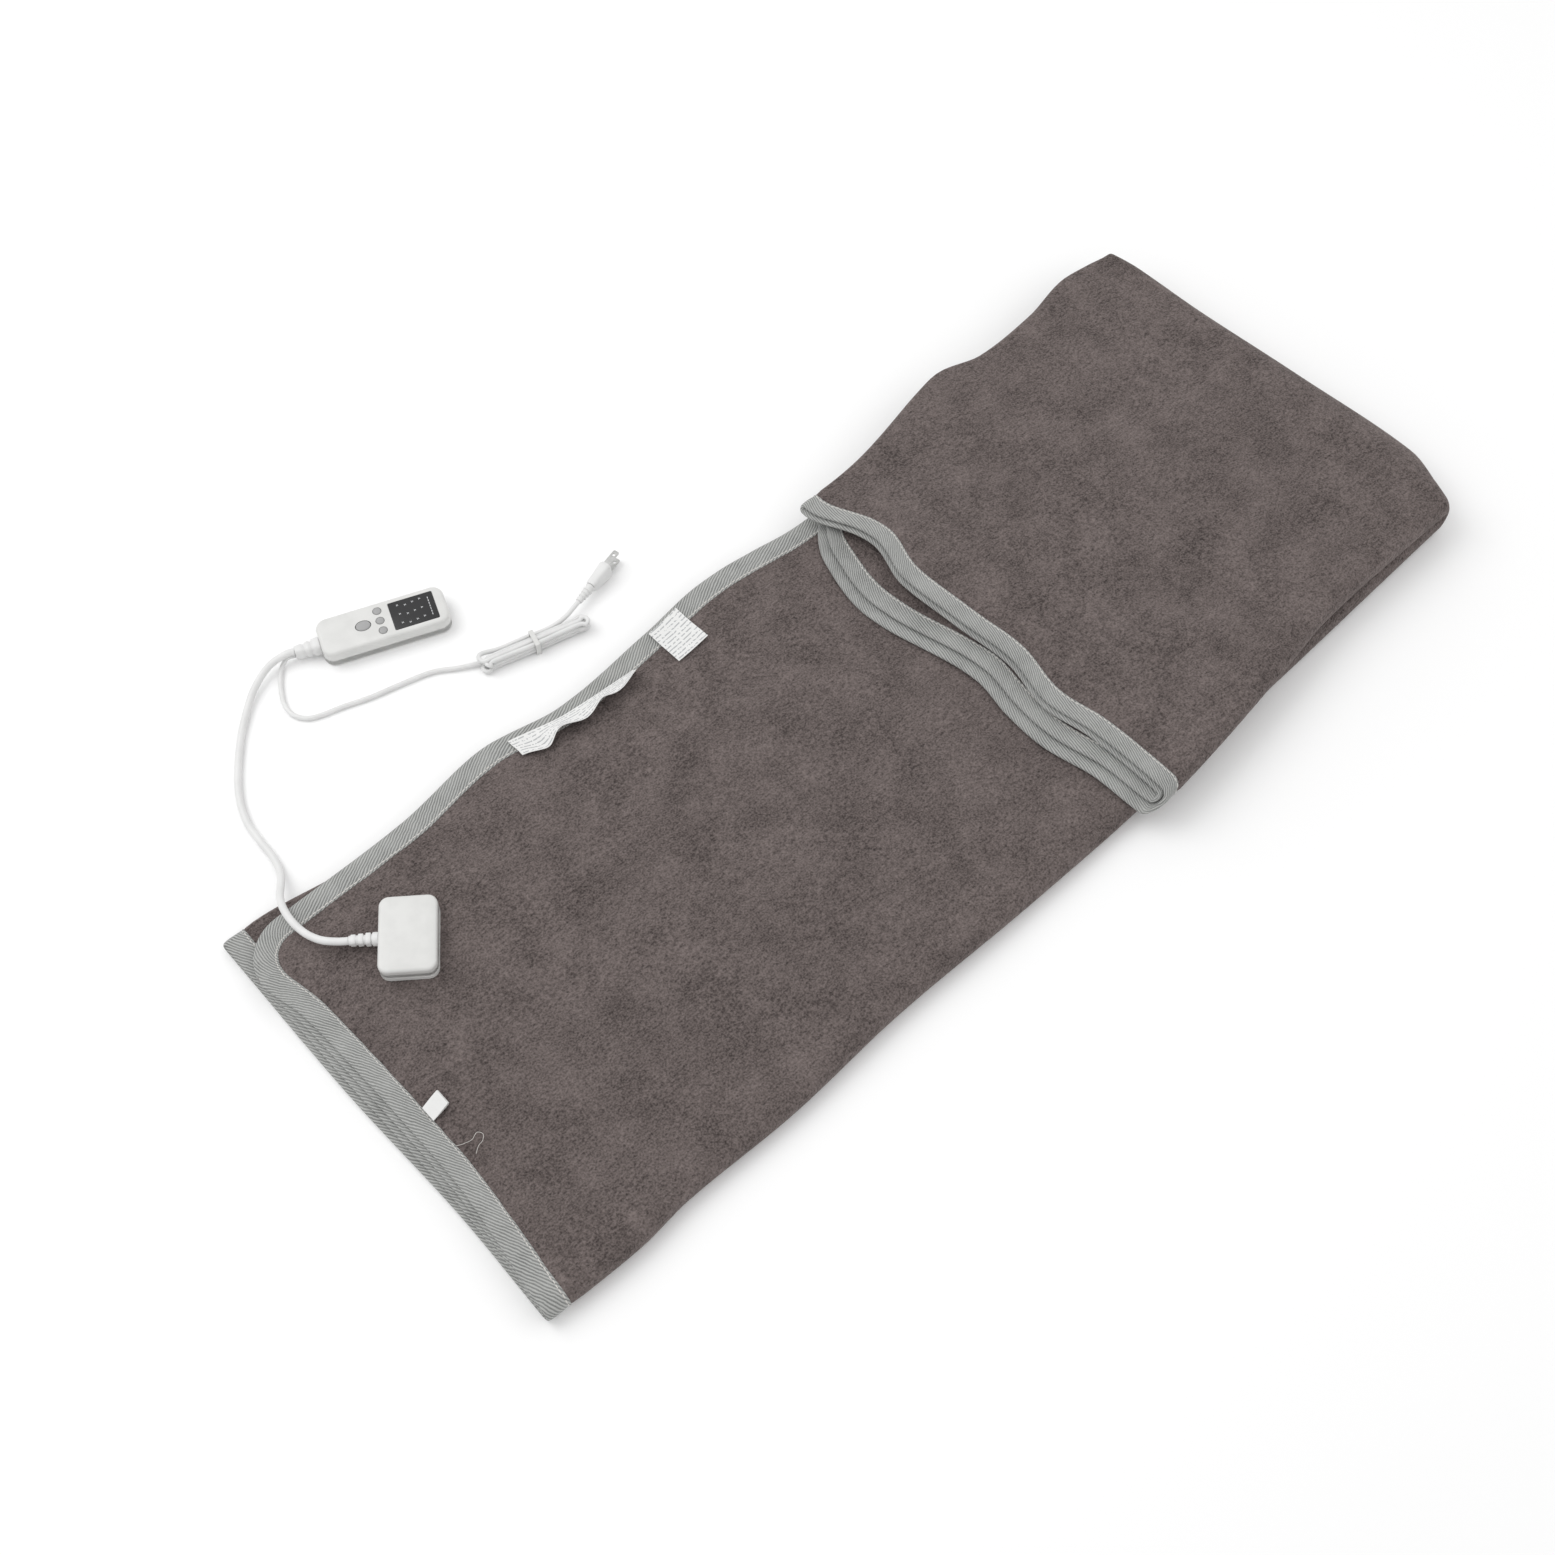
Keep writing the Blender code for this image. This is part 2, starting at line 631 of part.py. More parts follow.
def make_heating_wire():
    """One loop of wire: out across the stack, round the flap and back along the first edge."""
    near, far = WIRE_END, STACK_LENGTH - WIRE_END
    last = FLAT_WIDTH - WIRE_EDGE
    centre = (EDGE_Y - CONNECTOR_PLACE[1], CONNECTOR_PLACE[0] - NEAR_HEM_X)
    start = centre[1] - BACK_PLATE_RADIUS - FIT
    pitch = (last - WIRE_START) / (STACK_RUNS - 1)
    places = [WIRE_START + pitch * number for number in range(STACK_RUNS)]
    seam = FOLD_SEAM / 2 + FIT / 2
    lead_in = [(centre[0], start), (centre[0] + 0.003, start - 0.02), (centre[0] + 0.018, start - 0.036)]
    lead_in += [(centre[0] + 0.040, start - 0.038), (WIRE_START - 0.004, start - 0.020)]
    runs = serpentine(places, near, far, start + 0.010, STACK_LENGTH - seam)
    wire("heating_wire_stack", lead_in + runs, in_stack)
    pitch = (FLAT_WIDTH - 2 * WIRE_EDGE) / (FLAP_RUNS - 1)
    places = [last - pitch * number for number in range(FLAP_RUNS)]
    end = FLAP_LENGTH - seam
    wire("heating_wire_flap", serpentine(places[::-1], near, FLAP_LENGTH - WIRE_END, end, end), in_flap)
    for name, across in (("heating_wire_bend_a", WIRE_EDGE), ("heating_wire_bend_b", last)):
        angles = [math.pi * step / BEND_STEPS for step in range(BEND_STEPS + 1)]
        wire(name, [(across, angle) for angle in angles], in_bend)
    meet = centre[1] + BACK_PLATE_RADIUS + FIT
    back = [(WIRE_EDGE, STACK_LENGTH - seam), (WIRE_EDGE, meet + 0.060), (WIRE_EDGE + 0.004, meet + 0.040)]
    back += [(centre[0] - 0.016, meet + 0.022), (centre[0] - 0.002, meet + 0.008), (centre[0], meet)]
    wire("heating_wire_return", back, in_stack)


# --- Labels -----------------------------------------------------------------------------------------
def strip(name, size, centre, columns, rows, height_at, material=LABEL):
    """A thin label as a grid that follows a height function, given its thickness by Solidify."""
    shape = bmesh.new()
    bmesh.ops.create_grid(shape, x_segments=columns, y_segments=rows, size=0.5)
    for vert in shape.verts:
        share = (vert.co.x + 0.5, vert.co.y + 0.5)
        vert.co = (centre[0] + vert.co.x * size[0], centre[1] + vert.co.y * size[1], height_at(*share))
    part = solid(name, shape, material, smooth=True)
    wall = part.modifiers.new("wall", "SOLIDIFY")
    wall.thickness = LABEL_WALL
    wall.offset = 1.0
    return part


def make_labels():
    """The two labels at the free edge and the loop tag at the near hem."""
    top = STACK_HEIGHT + FIT
    care_y = EDGE_Y - CARE_LABEL_SIZE[1] / 2 - 0.003
    strip("care_label", CARE_LABEL_SIZE, (CARE_LABEL_X, care_y), 1, 1, lambda u, v: top)

    def curl(along, across):
        """The long label's height: sewn flat along one side, waved up along the other."""
        return top + WARNING_LABEL_RISE * (1 - across) * (0.25 + 0.75 * math.sin(math.pi * along) ** 2)

    warning_y = EDGE_Y - 0.008 - WARNING_LABEL_SIZE[1] / 2
    strip("warning_label", WARNING_LABEL_SIZE, (WARNING_LABEL_X, warning_y), 12, 3, curl)
    root = NEAR_HEM_X + 0.014
    tag = bmesh.new()
    levels = [(root, top), (root + TAG_SIZE[0], top)]
    for step in range(1, 5):
        angle = math.pi * step / 5
        bulge = (TAG_BULGE * math.sin(angle), TAG_BULGE * (1 - math.cos(angle)))
        levels.append((root + TAG_SIZE[0] + bulge[0], top + bulge[1]))
    levels += [(root + TAG_SIZE[0], top + 2 * TAG_BULGE), (root, top + TAG_BULGE)]
    row = [tag.verts.new((x, TAG_Y - TAG_SIZE[1] / 2, z)) for x, z in levels]
    edges = [tag.edges.new(pair) for pair in zip(row, row[1:])]
    swept = bmesh.ops.extrude_edge_only(tag, edges=edges)["geom"]
    moved = [item for item in swept if isinstance(item, bmesh.types.BMVert)]
    bmesh.ops.translate(tag, vec=(0, TAG_SIZE[1], 0), verts=moved)
    part = solid("loop_tag", tag, LABEL)
    wall = part.modifiers.new("wall", "SOLIDIFY")
    wall.thickness = LABEL_WALL
    wall.offset = 0.0


# --- Connector --------------------------------------------------------------------------------------
def make_connector():
    """The socket riveted to the top layer, and the plug that sits on it."""
    unit = frame("connector_frame", CONNECTOR_PLACE, CONNECTOR_TURN)
    length, width = CONNECTOR_SIZE
    base_low = STACK_HEIGHT + FIT
    base_high = base_low + BASE_HEIGHT
    core_z = layer_z(1)
    plate_low = core_z - BACK_PLATE_WALL / 2
    plate_high = core_z + BACK_PLATE_WALL / 2
    pin_low = plate_high + FIT
    face_sheet = bpy.data.objects["face_sheet_stack"]

    base_shape = block((length, width, BASE_HEIGHT), base_low, corner=CONNECTOR_RADIUS, top=0.0006)
    base = solid("socket_base", base_shape, WHITE, unit)
    plate = solid("socket_back_plate", rod(BACK_PLATE_RADIUS, plate_low, plate_high, sides=32), WHITE, unit)
    for number, sign in ((1, -1), (2, 1)):
        at = (sign * PIN_SPACING / 2, 0.0)
        pin = rod(PIN_RADIUS, pin_low, base_high + PIN_STAND, at)
        solid(f"socket_pin_{number}", pin, METAL, unit, True)
        for part in (base, face_sheet):
            boolean(part, rod(PIN_RADIUS + FIT, pin_low - FIT, base_high + FIT, at), unit)
        at = (sign * RIVET_SPACING / 2, 0.0)
        head = base_high - 0.0014
        profile = ((0, head + 0.0010), (0.0028, head + 0.0008), (0.0028, head), (RIVET_RADIUS, head))
        profile += ((RIVET_RADIUS, plate_low), (0, plate_low))
        turned(f"socket_rivet_{number}", profile, STEEL, unit, (*at, 0))
        for part in (base, face_sheet, plate):
            boolean(part, rod(RIVET_RADIUS + FIT, plate_low - FIT / 2, base_high + FIT, at), unit)
        boolean(base, rod(0.0028 + FIT, head - FIT, base_high + FIT, at), unit)
    make_plug(unit, base_high + FIT)


def make_plug(unit, low):
    """The white two-part plug, its contacts, screws and strain relief."""
    length, width = CONNECTOR_SIZE
    split = low + PLUG_LOWER_HEIGHT
    upper_low = split + FIT
    top = upper_low + PLUG_UPPER_HEIGHT
    inner = (length - 2 * PLUG_WALL, width - 2 * PLUG_WALL)
    inner_corner = CONNECTOR_RADIUS - PLUG_WALL
    contact_low = low + PLUG_WALL + FIT
    lower_shape = block((length, width, PLUG_LOWER_HEIGHT), low, corner=CONNECTOR_RADIUS, bottom=0.0005)
    lower = solid("plug_lower_shell", lower_shape, WHITE, unit)
    boolean(lower, block((*inner, PLUG_LOWER_HEIGHT), low + PLUG_WALL, corner=inner_corner), unit)
    upper_shape = block((length, width, PLUG_UPPER_HEIGHT), upper_low, corner=CONNECTOR_RADIUS, top=0.0026)
    upper = solid("plug_upper_shell", upper_shape, WHITE, unit)
    boolean(upper, block((*inner, PLUG_UPPER_HEIGHT), upper_low - PLUG_WALL, corner=inner_corner), unit)

    relief_z = split + FIT / 2
    neck = RELIEF_NECK
    for shell in (lower, upper):
        hole = rod(neck + FIT, width / 2 - 2 * PLUG_WALL, width / 2 + PLUG_WALL)
        bmesh.ops.rotate(hole, matrix=Matrix.Rotation(-math.pi / 2, 3, "X"), verts=hole.verts)
        bmesh.ops.translate(hole, vec=(0, 0, relief_z), verts=hole.verts)
        boolean(shell, hole, unit)
    tip = width / 2 + RELIEF_LENGTH
    profile = (
        (0, tip),
        (LINK_RADIUS + 0.0009, tip),
        (LINK_RADIUS + 0.0015, tip - 0.014),
        (RELIEF_RADIUS - 0.0012, width / 2 + 0.0060),
        (RELIEF_RADIUS, width / 2 + 0.0055),
        (RELIEF_RADIUS, width / 2 + FIT),
        (neck, width / 2 + FIT),
        (neck, width / 2 - PLUG_WALL - FIT),
        (neck + 0.0008, width / 2 - PLUG_WALL - FIT),
        (neck + 0.0008, width / 2 - PLUG_WALL - 0.0020),
        (0, width / 2 - PLUG_WALL - 0.0020),
    )
    turned("plug_strain_relief", profile, CORD, unit, (0, 0, relief_z), (-math.pi / 2, 0, 0))

    for number, sign in ((1, -1), (2, 1)):
        at = (sign * PIN_SPACING / 2, 0.0)
        boolean(lower, rod(PIN_RADIUS + FIT, low - FIT, low + PLUG_WALL + FIT, at), unit)
        contact = rod(PIN_RADIUS + FIT + CONTACT_WALL, contact_low, contact_low + 0.0070, at)
        contact = solid(f"plug_contact_{number}", contact, METAL, unit, True)
        boolean(contact, rod(PIN_RADIUS + FIT, contact_low - FIT, contact_low + 0.0055, at), unit)
        at = (sign * PLUG_SCREW_SPACING / 2, 0.0)
        boolean(upper, rod(POST_RADIUS, low + PLUG_WALL + FIT, top - PLUG_WALL + FIT, at), unit, "UNION")
        boolean(upper, rod(SCREW_RADIUS + FIT, low, top - PLUG_WALL, at), unit)
        boolean(lower, rod(SCREW_RADIUS + FIT, low - FIT, low + 2 * PLUG_WALL, at), unit)
        boolean(lower, rod(HEAD_RADIUS + FIT, low - FIT, low + 0.0010, at), unit)
        screw(f"plug_screw_{number}", low + 0.0001, 0.0006, 0.0085, unit, at)


def screw(name, low, head, length, parent, at):
    """A screw driven upwards, its head at the bottom."""
    profile = ((0, low + length), (SCREW_RADIUS, low + length - 0.0008), (SCREW_RADIUS, low + head))
    profile += ((HEAD_RADIUS, low + head), (HEAD_RADIUS, low), (0, low))
    turned(name, profile, STEEL, parent, (*at, 0), steps=12)


# --- Controller -------------------------------------------------------------------------------------
def make_controller():
    """The white hand controller with its screen, keys, board and cord boot."""
    unit = frame("controller_frame", CONTROLLER_PLACE, CONTROLLER_TURN)
    length, width = CONTROLLER_SIZE
    upper_low = LOWER_HEIGHT + FIT
    top = upper_low + UPPER_HEIGHT
    ceiling = top - SHELL_WALL
    inner = (length - 2 * SHELL_WALL, width - 2 * SHELL_WALL)
    inner_corner = CONTROLLER_RADIUS - SHELL_WALL
    lower_shape = block((length, width, LOWER_HEIGHT), 0.0, corner=CONTROLLER_RADIUS, bottom=0.0015)
    lower = solid("controller_bottom_shell", lower_shape, WHITE, unit)
    boolean(lower, block((*inner, LOWER_HEIGHT), SHELL_WALL, corner=inner_corner), unit)
    upper_shape = block((length, width, UPPER_HEIGHT), upper_low, corner=CONTROLLER_RADIUS, top=0.0028)
    upper = solid("controller_top_shell", upper_shape, WHITE, unit)
    boolean(upper, block((*inner, UPPER_HEIGHT), upper_low - SHELL_WALL, corner=inner_corner), unit)

    board_shape = block((*BOARD_SIZE, BOARD_WALL), BOARD_Z, (-0.0005, 0), corner=0.002, steps=2)
    board = solid("controller_board", board_shape, BOARD, unit)
    make_screen(unit, upper, top, ceiling)
    make_keys(unit, upper, top, ceiling)
    make_components(unit)
    for number, x in enumerate(CONTROLLER_SCREW_X, 1):
        at = (x, 0.0)
        boolean(upper, rod(POST_RADIUS, SHELL_WALL + FIT, ceiling + FIT, at), unit, "UNION")
        boolean(upper, rod(SCREW_RADIUS + FIT, SHELL_WALL, ceiling - FIT, at), unit)
        boolean(lower, rod(SCREW_RADIUS + FIT, -FIT, 2 * SHELL_WALL, at), unit)
        boolean(lower, rod(HEAD_RADIUS + FIT, -FIT, 0.0014, at), unit)
        screw(f"controller_screw_{number}", FIT, 0.0009, 0.0125, unit, at)
    boolean(board, rod(POST_RADIUS + FIT, 0, top, (CONTROLLER_SCREW_X[0], 0.0)), unit)
    make_boot(unit, (lower, upper))


def make_screen(unit, shell, top, ceiling):
    """The dark window set flush in the top, and the display module under it."""
    across, up = WINDOW_SIZE
    centre = (WINDOW_X, 0.0)
    recess_low = top - WINDOW_WALL - FIT
    boolean(shell, block((across, up, 2 * WINDOW_WALL), recess_low, centre), unit)
    opening = (across - 2 * WINDOW_LEDGE, up - 2 * WINDOW_LEDGE, 4 * SHELL_WALL)
    boolean(shell, block(opening, ceiling - 2 * SHELL_WALL, centre), unit)
    pane = block((across - 2 * FIT, up - 2 * FIT, WINDOW_WALL), recess_low + FIT, centre)
    solid("display_window", pane, SCREEN, unit)
    low = BOARD_Z + BOARD_WALL + FIT
    module = block((across - 0.003, up - 0.003, ceiling - FIT - low), low, centre)
    solid("display_module", module, BLACK, unit)


def make_keys(unit, shell, top, ceiling):
    """The power key, three round keys and the silicone pad that returns them."""
    pad_low = BOARD_Z + BOARD_WALL + FIT
    pad_high = pad_low + 0.0010
    pad_x = (POWER_X + BUTTON_ROW_X) / 2 - 0.0006
    pad_shape = block((0.0305, 0.0320, pad_high - pad_low), pad_low, (pad_x, 0))
    pad = solid("button_pad", pad_shape, RUBBER, unit)
    oval = (POWER_SIZE[0] / 2 / BUTTON_RADIUS, POWER_SIZE[1] / 2 / BUTTON_RADIUS)
    keys = [("power_button", POWER_X, 0.0, oval)]
    rows = (("timer_button", 1), ("heat_button", 0), ("light_button", -1))
    keys += [(name, BUTTON_ROW_X, row * BUTTON_PITCH, (1.0, 1.0)) for name, row in rows]
    flange_high = ceiling - FIT
    flange_low = flange_high - BUTTON_FLANGE
    for name, x, y, stretch in keys:
        grown = [(share * BUTTON_RADIUS + FIT) / (BUTTON_RADIUS + FIT) for share in stretch]
        boolean(shell, rod(BUTTON_RADIUS + FIT, ceiling - FIT, top + FIT, (x, y), 24, grown), unit)
        spot = frame(f"{name}_frame", (x, y), 0.0)
        spot.parent = unit
        crown = rod(BUTTON_RADIUS, flange_high - FIT, top + BUTTON_PROUD, (0, 0), 24, stretch)
        rim = [e for e in crown.edges if all(v.co.z > top for v in e.verts)]
        bmesh.ops.bevel(crown, geom=rim, offset=0.0004, segments=2, profile=0.5, affect="EDGES")
        key = solid(name, crown, GREY, spot, True)
        wide = [(share * BUTTON_RADIUS + 0.0008) / (BUTTON_RADIUS + 0.0008) for share in stretch]
        boolean(key, rod(BUTTON_RADIUS + 0.0008, flange_low, flange_high, (0, 0), 24, wide), spot, "UNION")
        dome_high = flange_low - BUTTON_TRAVEL - FIT
        boolean(pad, rod(0.0030, pad_low + FIT, dome_high, (x, y), 12), unit, "UNION")


def make_components(unit):
    """The mains parts on top of the board and the chip beneath it."""
    low = BOARD_Z + BOARD_WALL + FIT
    solid("film_capacitor", block((0.0130, 0.0060, 0.0075), low, (-0.0375, -0.0100)), BLACK, unit)
    solid("triac", block((0.0100, 0.0045, 0.0075), low, (-0.0490, 0.0065)), BLACK, unit)
    fuse = rod(0.0026, -0.0100, 0.0100)
    bmesh.ops.rotate(fuse, matrix=Matrix.Rotation(math.pi / 2, 3, "Y"), verts=fuse.verts)
    bmesh.ops.translate(fuse, vec=(-0.0365, 0.0118, low + 0.0026), verts=fuse.verts)
    solid("fuse", fuse, STEEL, unit, True)
    chip_low = BOARD_Z - FIT - 0.0015
    solid("control_chip", block((0.0100, 0.0100, 0.0015), chip_low, (0.0200, 0)), BLACK, unit)


def tapered(length, root, tip, start, height):
    """A block along -X whose section shrinks from root to tip, with eased long edges."""
    shape = bmesh.new()
    bmesh.ops.create_cube(shape, size=1.0)
    for vert in shape.verts:
        section = root if vert.co.x > 0 else tip
        across = vert.co.y * section[0]
        vert.co = (start - (0.5 - vert.co.x) * length, across, height + vert.co.z * section[1])
    long_edges = [e for e in shape.edges if abs(e.verts[0].co.x - e.verts[1].co.x) > length / 2]
    bmesh.ops.bevel(shape, geom=long_edges, offset=min(tip) * 0.3, segments=3, profile=0.5, affect="EDGES")
    return shape


def make_boot(unit, shells):
    """The rubber boot where both cords leave the controller."""
    end = -CONTROLLER_SIZE[0] / 2
    neck = (BOOT_ROOT[0] - 0.003, BOOT_ROOT[1] - 0.003)
    low = BOOT_Z - neck[1] / 2
    boot_shape = tapered(BOOT_LENGTH, BOOT_ROOT, BOOT_TIP, end - FIT, BOOT_Z)
    boot = solid("cord_boot", boot_shape, CORD, unit, True)
    reach = SHELL_WALL + 5 * FIT
    boolean(boot, block((reach, *neck), low, (end + reach / 2 - 2 * FIT, 0)), unit, "UNION")
    inner = (0.0016, neck[0] + 0.0024, neck[1] - 0.0010)
    place = (end + SHELL_WALL + FIT + inner[0] / 2, 0)
    boolean(boot, block(inner, low + 0.0005, place), unit, "UNION")
    for shell in shells:
        hole = (4 * SHELL_WALL, neck[0] + 2 * FIT, neck[1] + 2 * FIT)
        boolean(shell, block(hole, low - FIT, (end, 0)), unit)


# --- Cords and mains plug ---------------------------------------------------------------------------
def outward(place, turn, reach, side, height):
    """A point that lies reach along a unit's own X and side along its Y, at a height."""
    forward = Vector((math.cos(turn), math.sin(turn), 0))
    left = Vector((-math.sin(turn), math.cos(turn), 0))
    return Vector((*place, height)) + forward * reach + left * side


def make_cords():
    """The free cords: plug to controller, controller to hank, and hank to mains plug."""
    relief_z = STACK_HEIGHT + 2 * FIT + BASE_HEIGHT + PLUG_LOWER_HEIGHT + FIT / 2
    relief_end = CONNECTOR_SIZE[1] / 2 + RELIEF_LENGTH + CORD_END_GAP
    link_leads = [
        outward(CONNECTOR_PLACE, CONNECTOR_TURN, 0, relief_end + reach, relief_z)
        for reach in (0, CORD_LEAD)
    ]
    boot_end = -CONTROLLER_SIZE[0] / 2 - BOOT_LENGTH - FIT - CORD_END_GAP
    link_ends = [
        outward(CONTROLLER_PLACE, CONTROLLER_TURN, boot_end - reach, 0, BOOT_Z + LINK_RISE)
        for reach in (CORD_LEAD, 0)
    ]
    mains_leads = [
        outward(CONTROLLER_PLACE, CONTROLLER_TURN, boot_end - reach, 0, BOOT_Z - MAINS_DROP)
        for reach in (0, CORD_LEAD)
    ]
    tube("link_cord", smooth_route((*link_leads, *LINK_ROUTE, *link_ends), CORD_LEAD), LINK_RADIUS, CORD)
    hank_end = outward(HANK_PLACE, HANK_TURN, -HANK_SIZE[0] / 2 - CORD_END_GAP, 0.0, 0.0074)
    hank_lead = outward(HANK_PLACE, HANK_TURN, -HANK_SIZE[0] / 2 - CORD_LEAD, 0.0, 0.0072)
    mains = smooth_route((*mains_leads, *MAINS_ROUTE, hank_lead, hank_end), CORD_LEAD)
    tube("mains_cord", mains, MAINS_RADIUS, CORD)
    beside = HANK_SIZE[1] / 2 + MAINS_RADIUS + CORD_END_GAP
    tail_leads = [
        outward(HANK_PLACE, HANK_TURN, reach, beside + away, 0.0056)
        for reach, away in ((0.0040, 0.0), (0.0130, 0.0003))
    ]
    boot_reach = -PLUG_BODY_LENGTH - PLUG_BOOT_LENGTH - FIT - CORD_END_GAP
    tail_ends = [
        outward(PLUG_FACE, PLUG_TURN, boot_reach - reach, 0, PLUG_BODY_SIZE[1] / 2)
        for reach in (CORD_LEAD, 0)
    ]
    tail = smooth_route((*tail_leads, *TAIL_ROUTE, *tail_ends), CORD_LEAD)
    tube("mains_tail", tail, MAINS_RADIUS, CORD)


def make_hank():
    """The folded bundle of mains cord and the tie round its middle."""
    unit = frame("hank_frame", HANK_PLACE, HANK_TURN)
    length, width, height = HANK_SIZE
    low = TIE_WALL + FIT
    data = bpy.data.curves.new("hank_outline", "CURVE")
    data.dimensions = "2D"
    data.fill_mode = "BOTH"
    data.extrude = height / 2
    outline = data.splines.new("POLY")
    points = []
    for end in (1, -1):
        for step in range(9):
            angle = math.pi * (step / 8 - 0.5)
            ahead = length / 2 - width / 2 + width / 2 * math.cos(angle)
            points.append((end * ahead, end * width / 2 * math.sin(angle)))
    outline.points.add(len(points) - 1)
    for knot, (x, y) in zip(outline.points, points):
        knot.co = (x, y, 0, 1)
    outline.use_cyclic_u = True
    hank = add_part("mains_hank", data, CORD, unit)
    hank.location = (0, 0, low + height / 2)
    outer = (TIE_WIDTH, width + 2 * low, height + 2 * low)
    tie = solid("hank_tie", block(outer, 0.0), WHITE, unit)
    boolean(tie, block((2 * TIE_WIDTH, width + 2 * FIT, height + 2 * FIT), TIE_WALL), unit)


def make_mains_plug():
    """The flat two-blade plug, lying on its edge."""
    middle = PLUG_BODY_SIZE[1] / 2
    unit = frame("mains_plug_frame", PLUG_FACE, PLUG_TURN)
    body_shape = tapered(PLUG_BODY_LENGTH, PLUG_BODY_SIZE, PLUG_BODY_TAIL, 0.0, middle)
    body = solid("mains_plug_body", body_shape, CORD, unit, True)
    back = -PLUG_BODY_LENGTH - FIT
    profile = (
        (0, back),
        (0.0050, back),
        (0.0046, back - 0.004),
        (MAINS_RADIUS + 0.0008, back - PLUG_BOOT_LENGTH),
        (0, back - PLUG_BOOT_LENGTH),
    )
    turned("mains_plug_boot", profile, CORD, unit, (0, 0, middle), (0, math.pi / 2, 0))
    long, wide, thick = BLADE_SIZE
    sunk = 0.006
    for number, sign in ((1, 1), (2, -1)):
        low = middle + sign * BLADE_SPACING / 2 - thick / 2
        blade = block((long + sunk, wide, thick), low, ((long - sunk) / 2, 0), corner=0.0012, steps=2)
        solid(f"mains_blade_{number}", blade, STEEL, unit)
        pocket = (2 * (sunk + FIT), wide + 2 * FIT, thick + 2 * FIT)
        boolean(body, block(pocket, low - FIT), unit)


make_blanket()
make_heating_wire()
make_labels()
make_connector()
make_controller()
make_cords()
make_hank()
make_mains_plug()
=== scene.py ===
"""Looks of a folded electric heating blanket with its lift-off connector, hand controller and mains lead.

Metres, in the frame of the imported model. The cloth is described as it was cut, flat, and one mapping folds it
across in four and then turns its far end back over the top, so that sheets, tape, stitches and wire agree.
"""

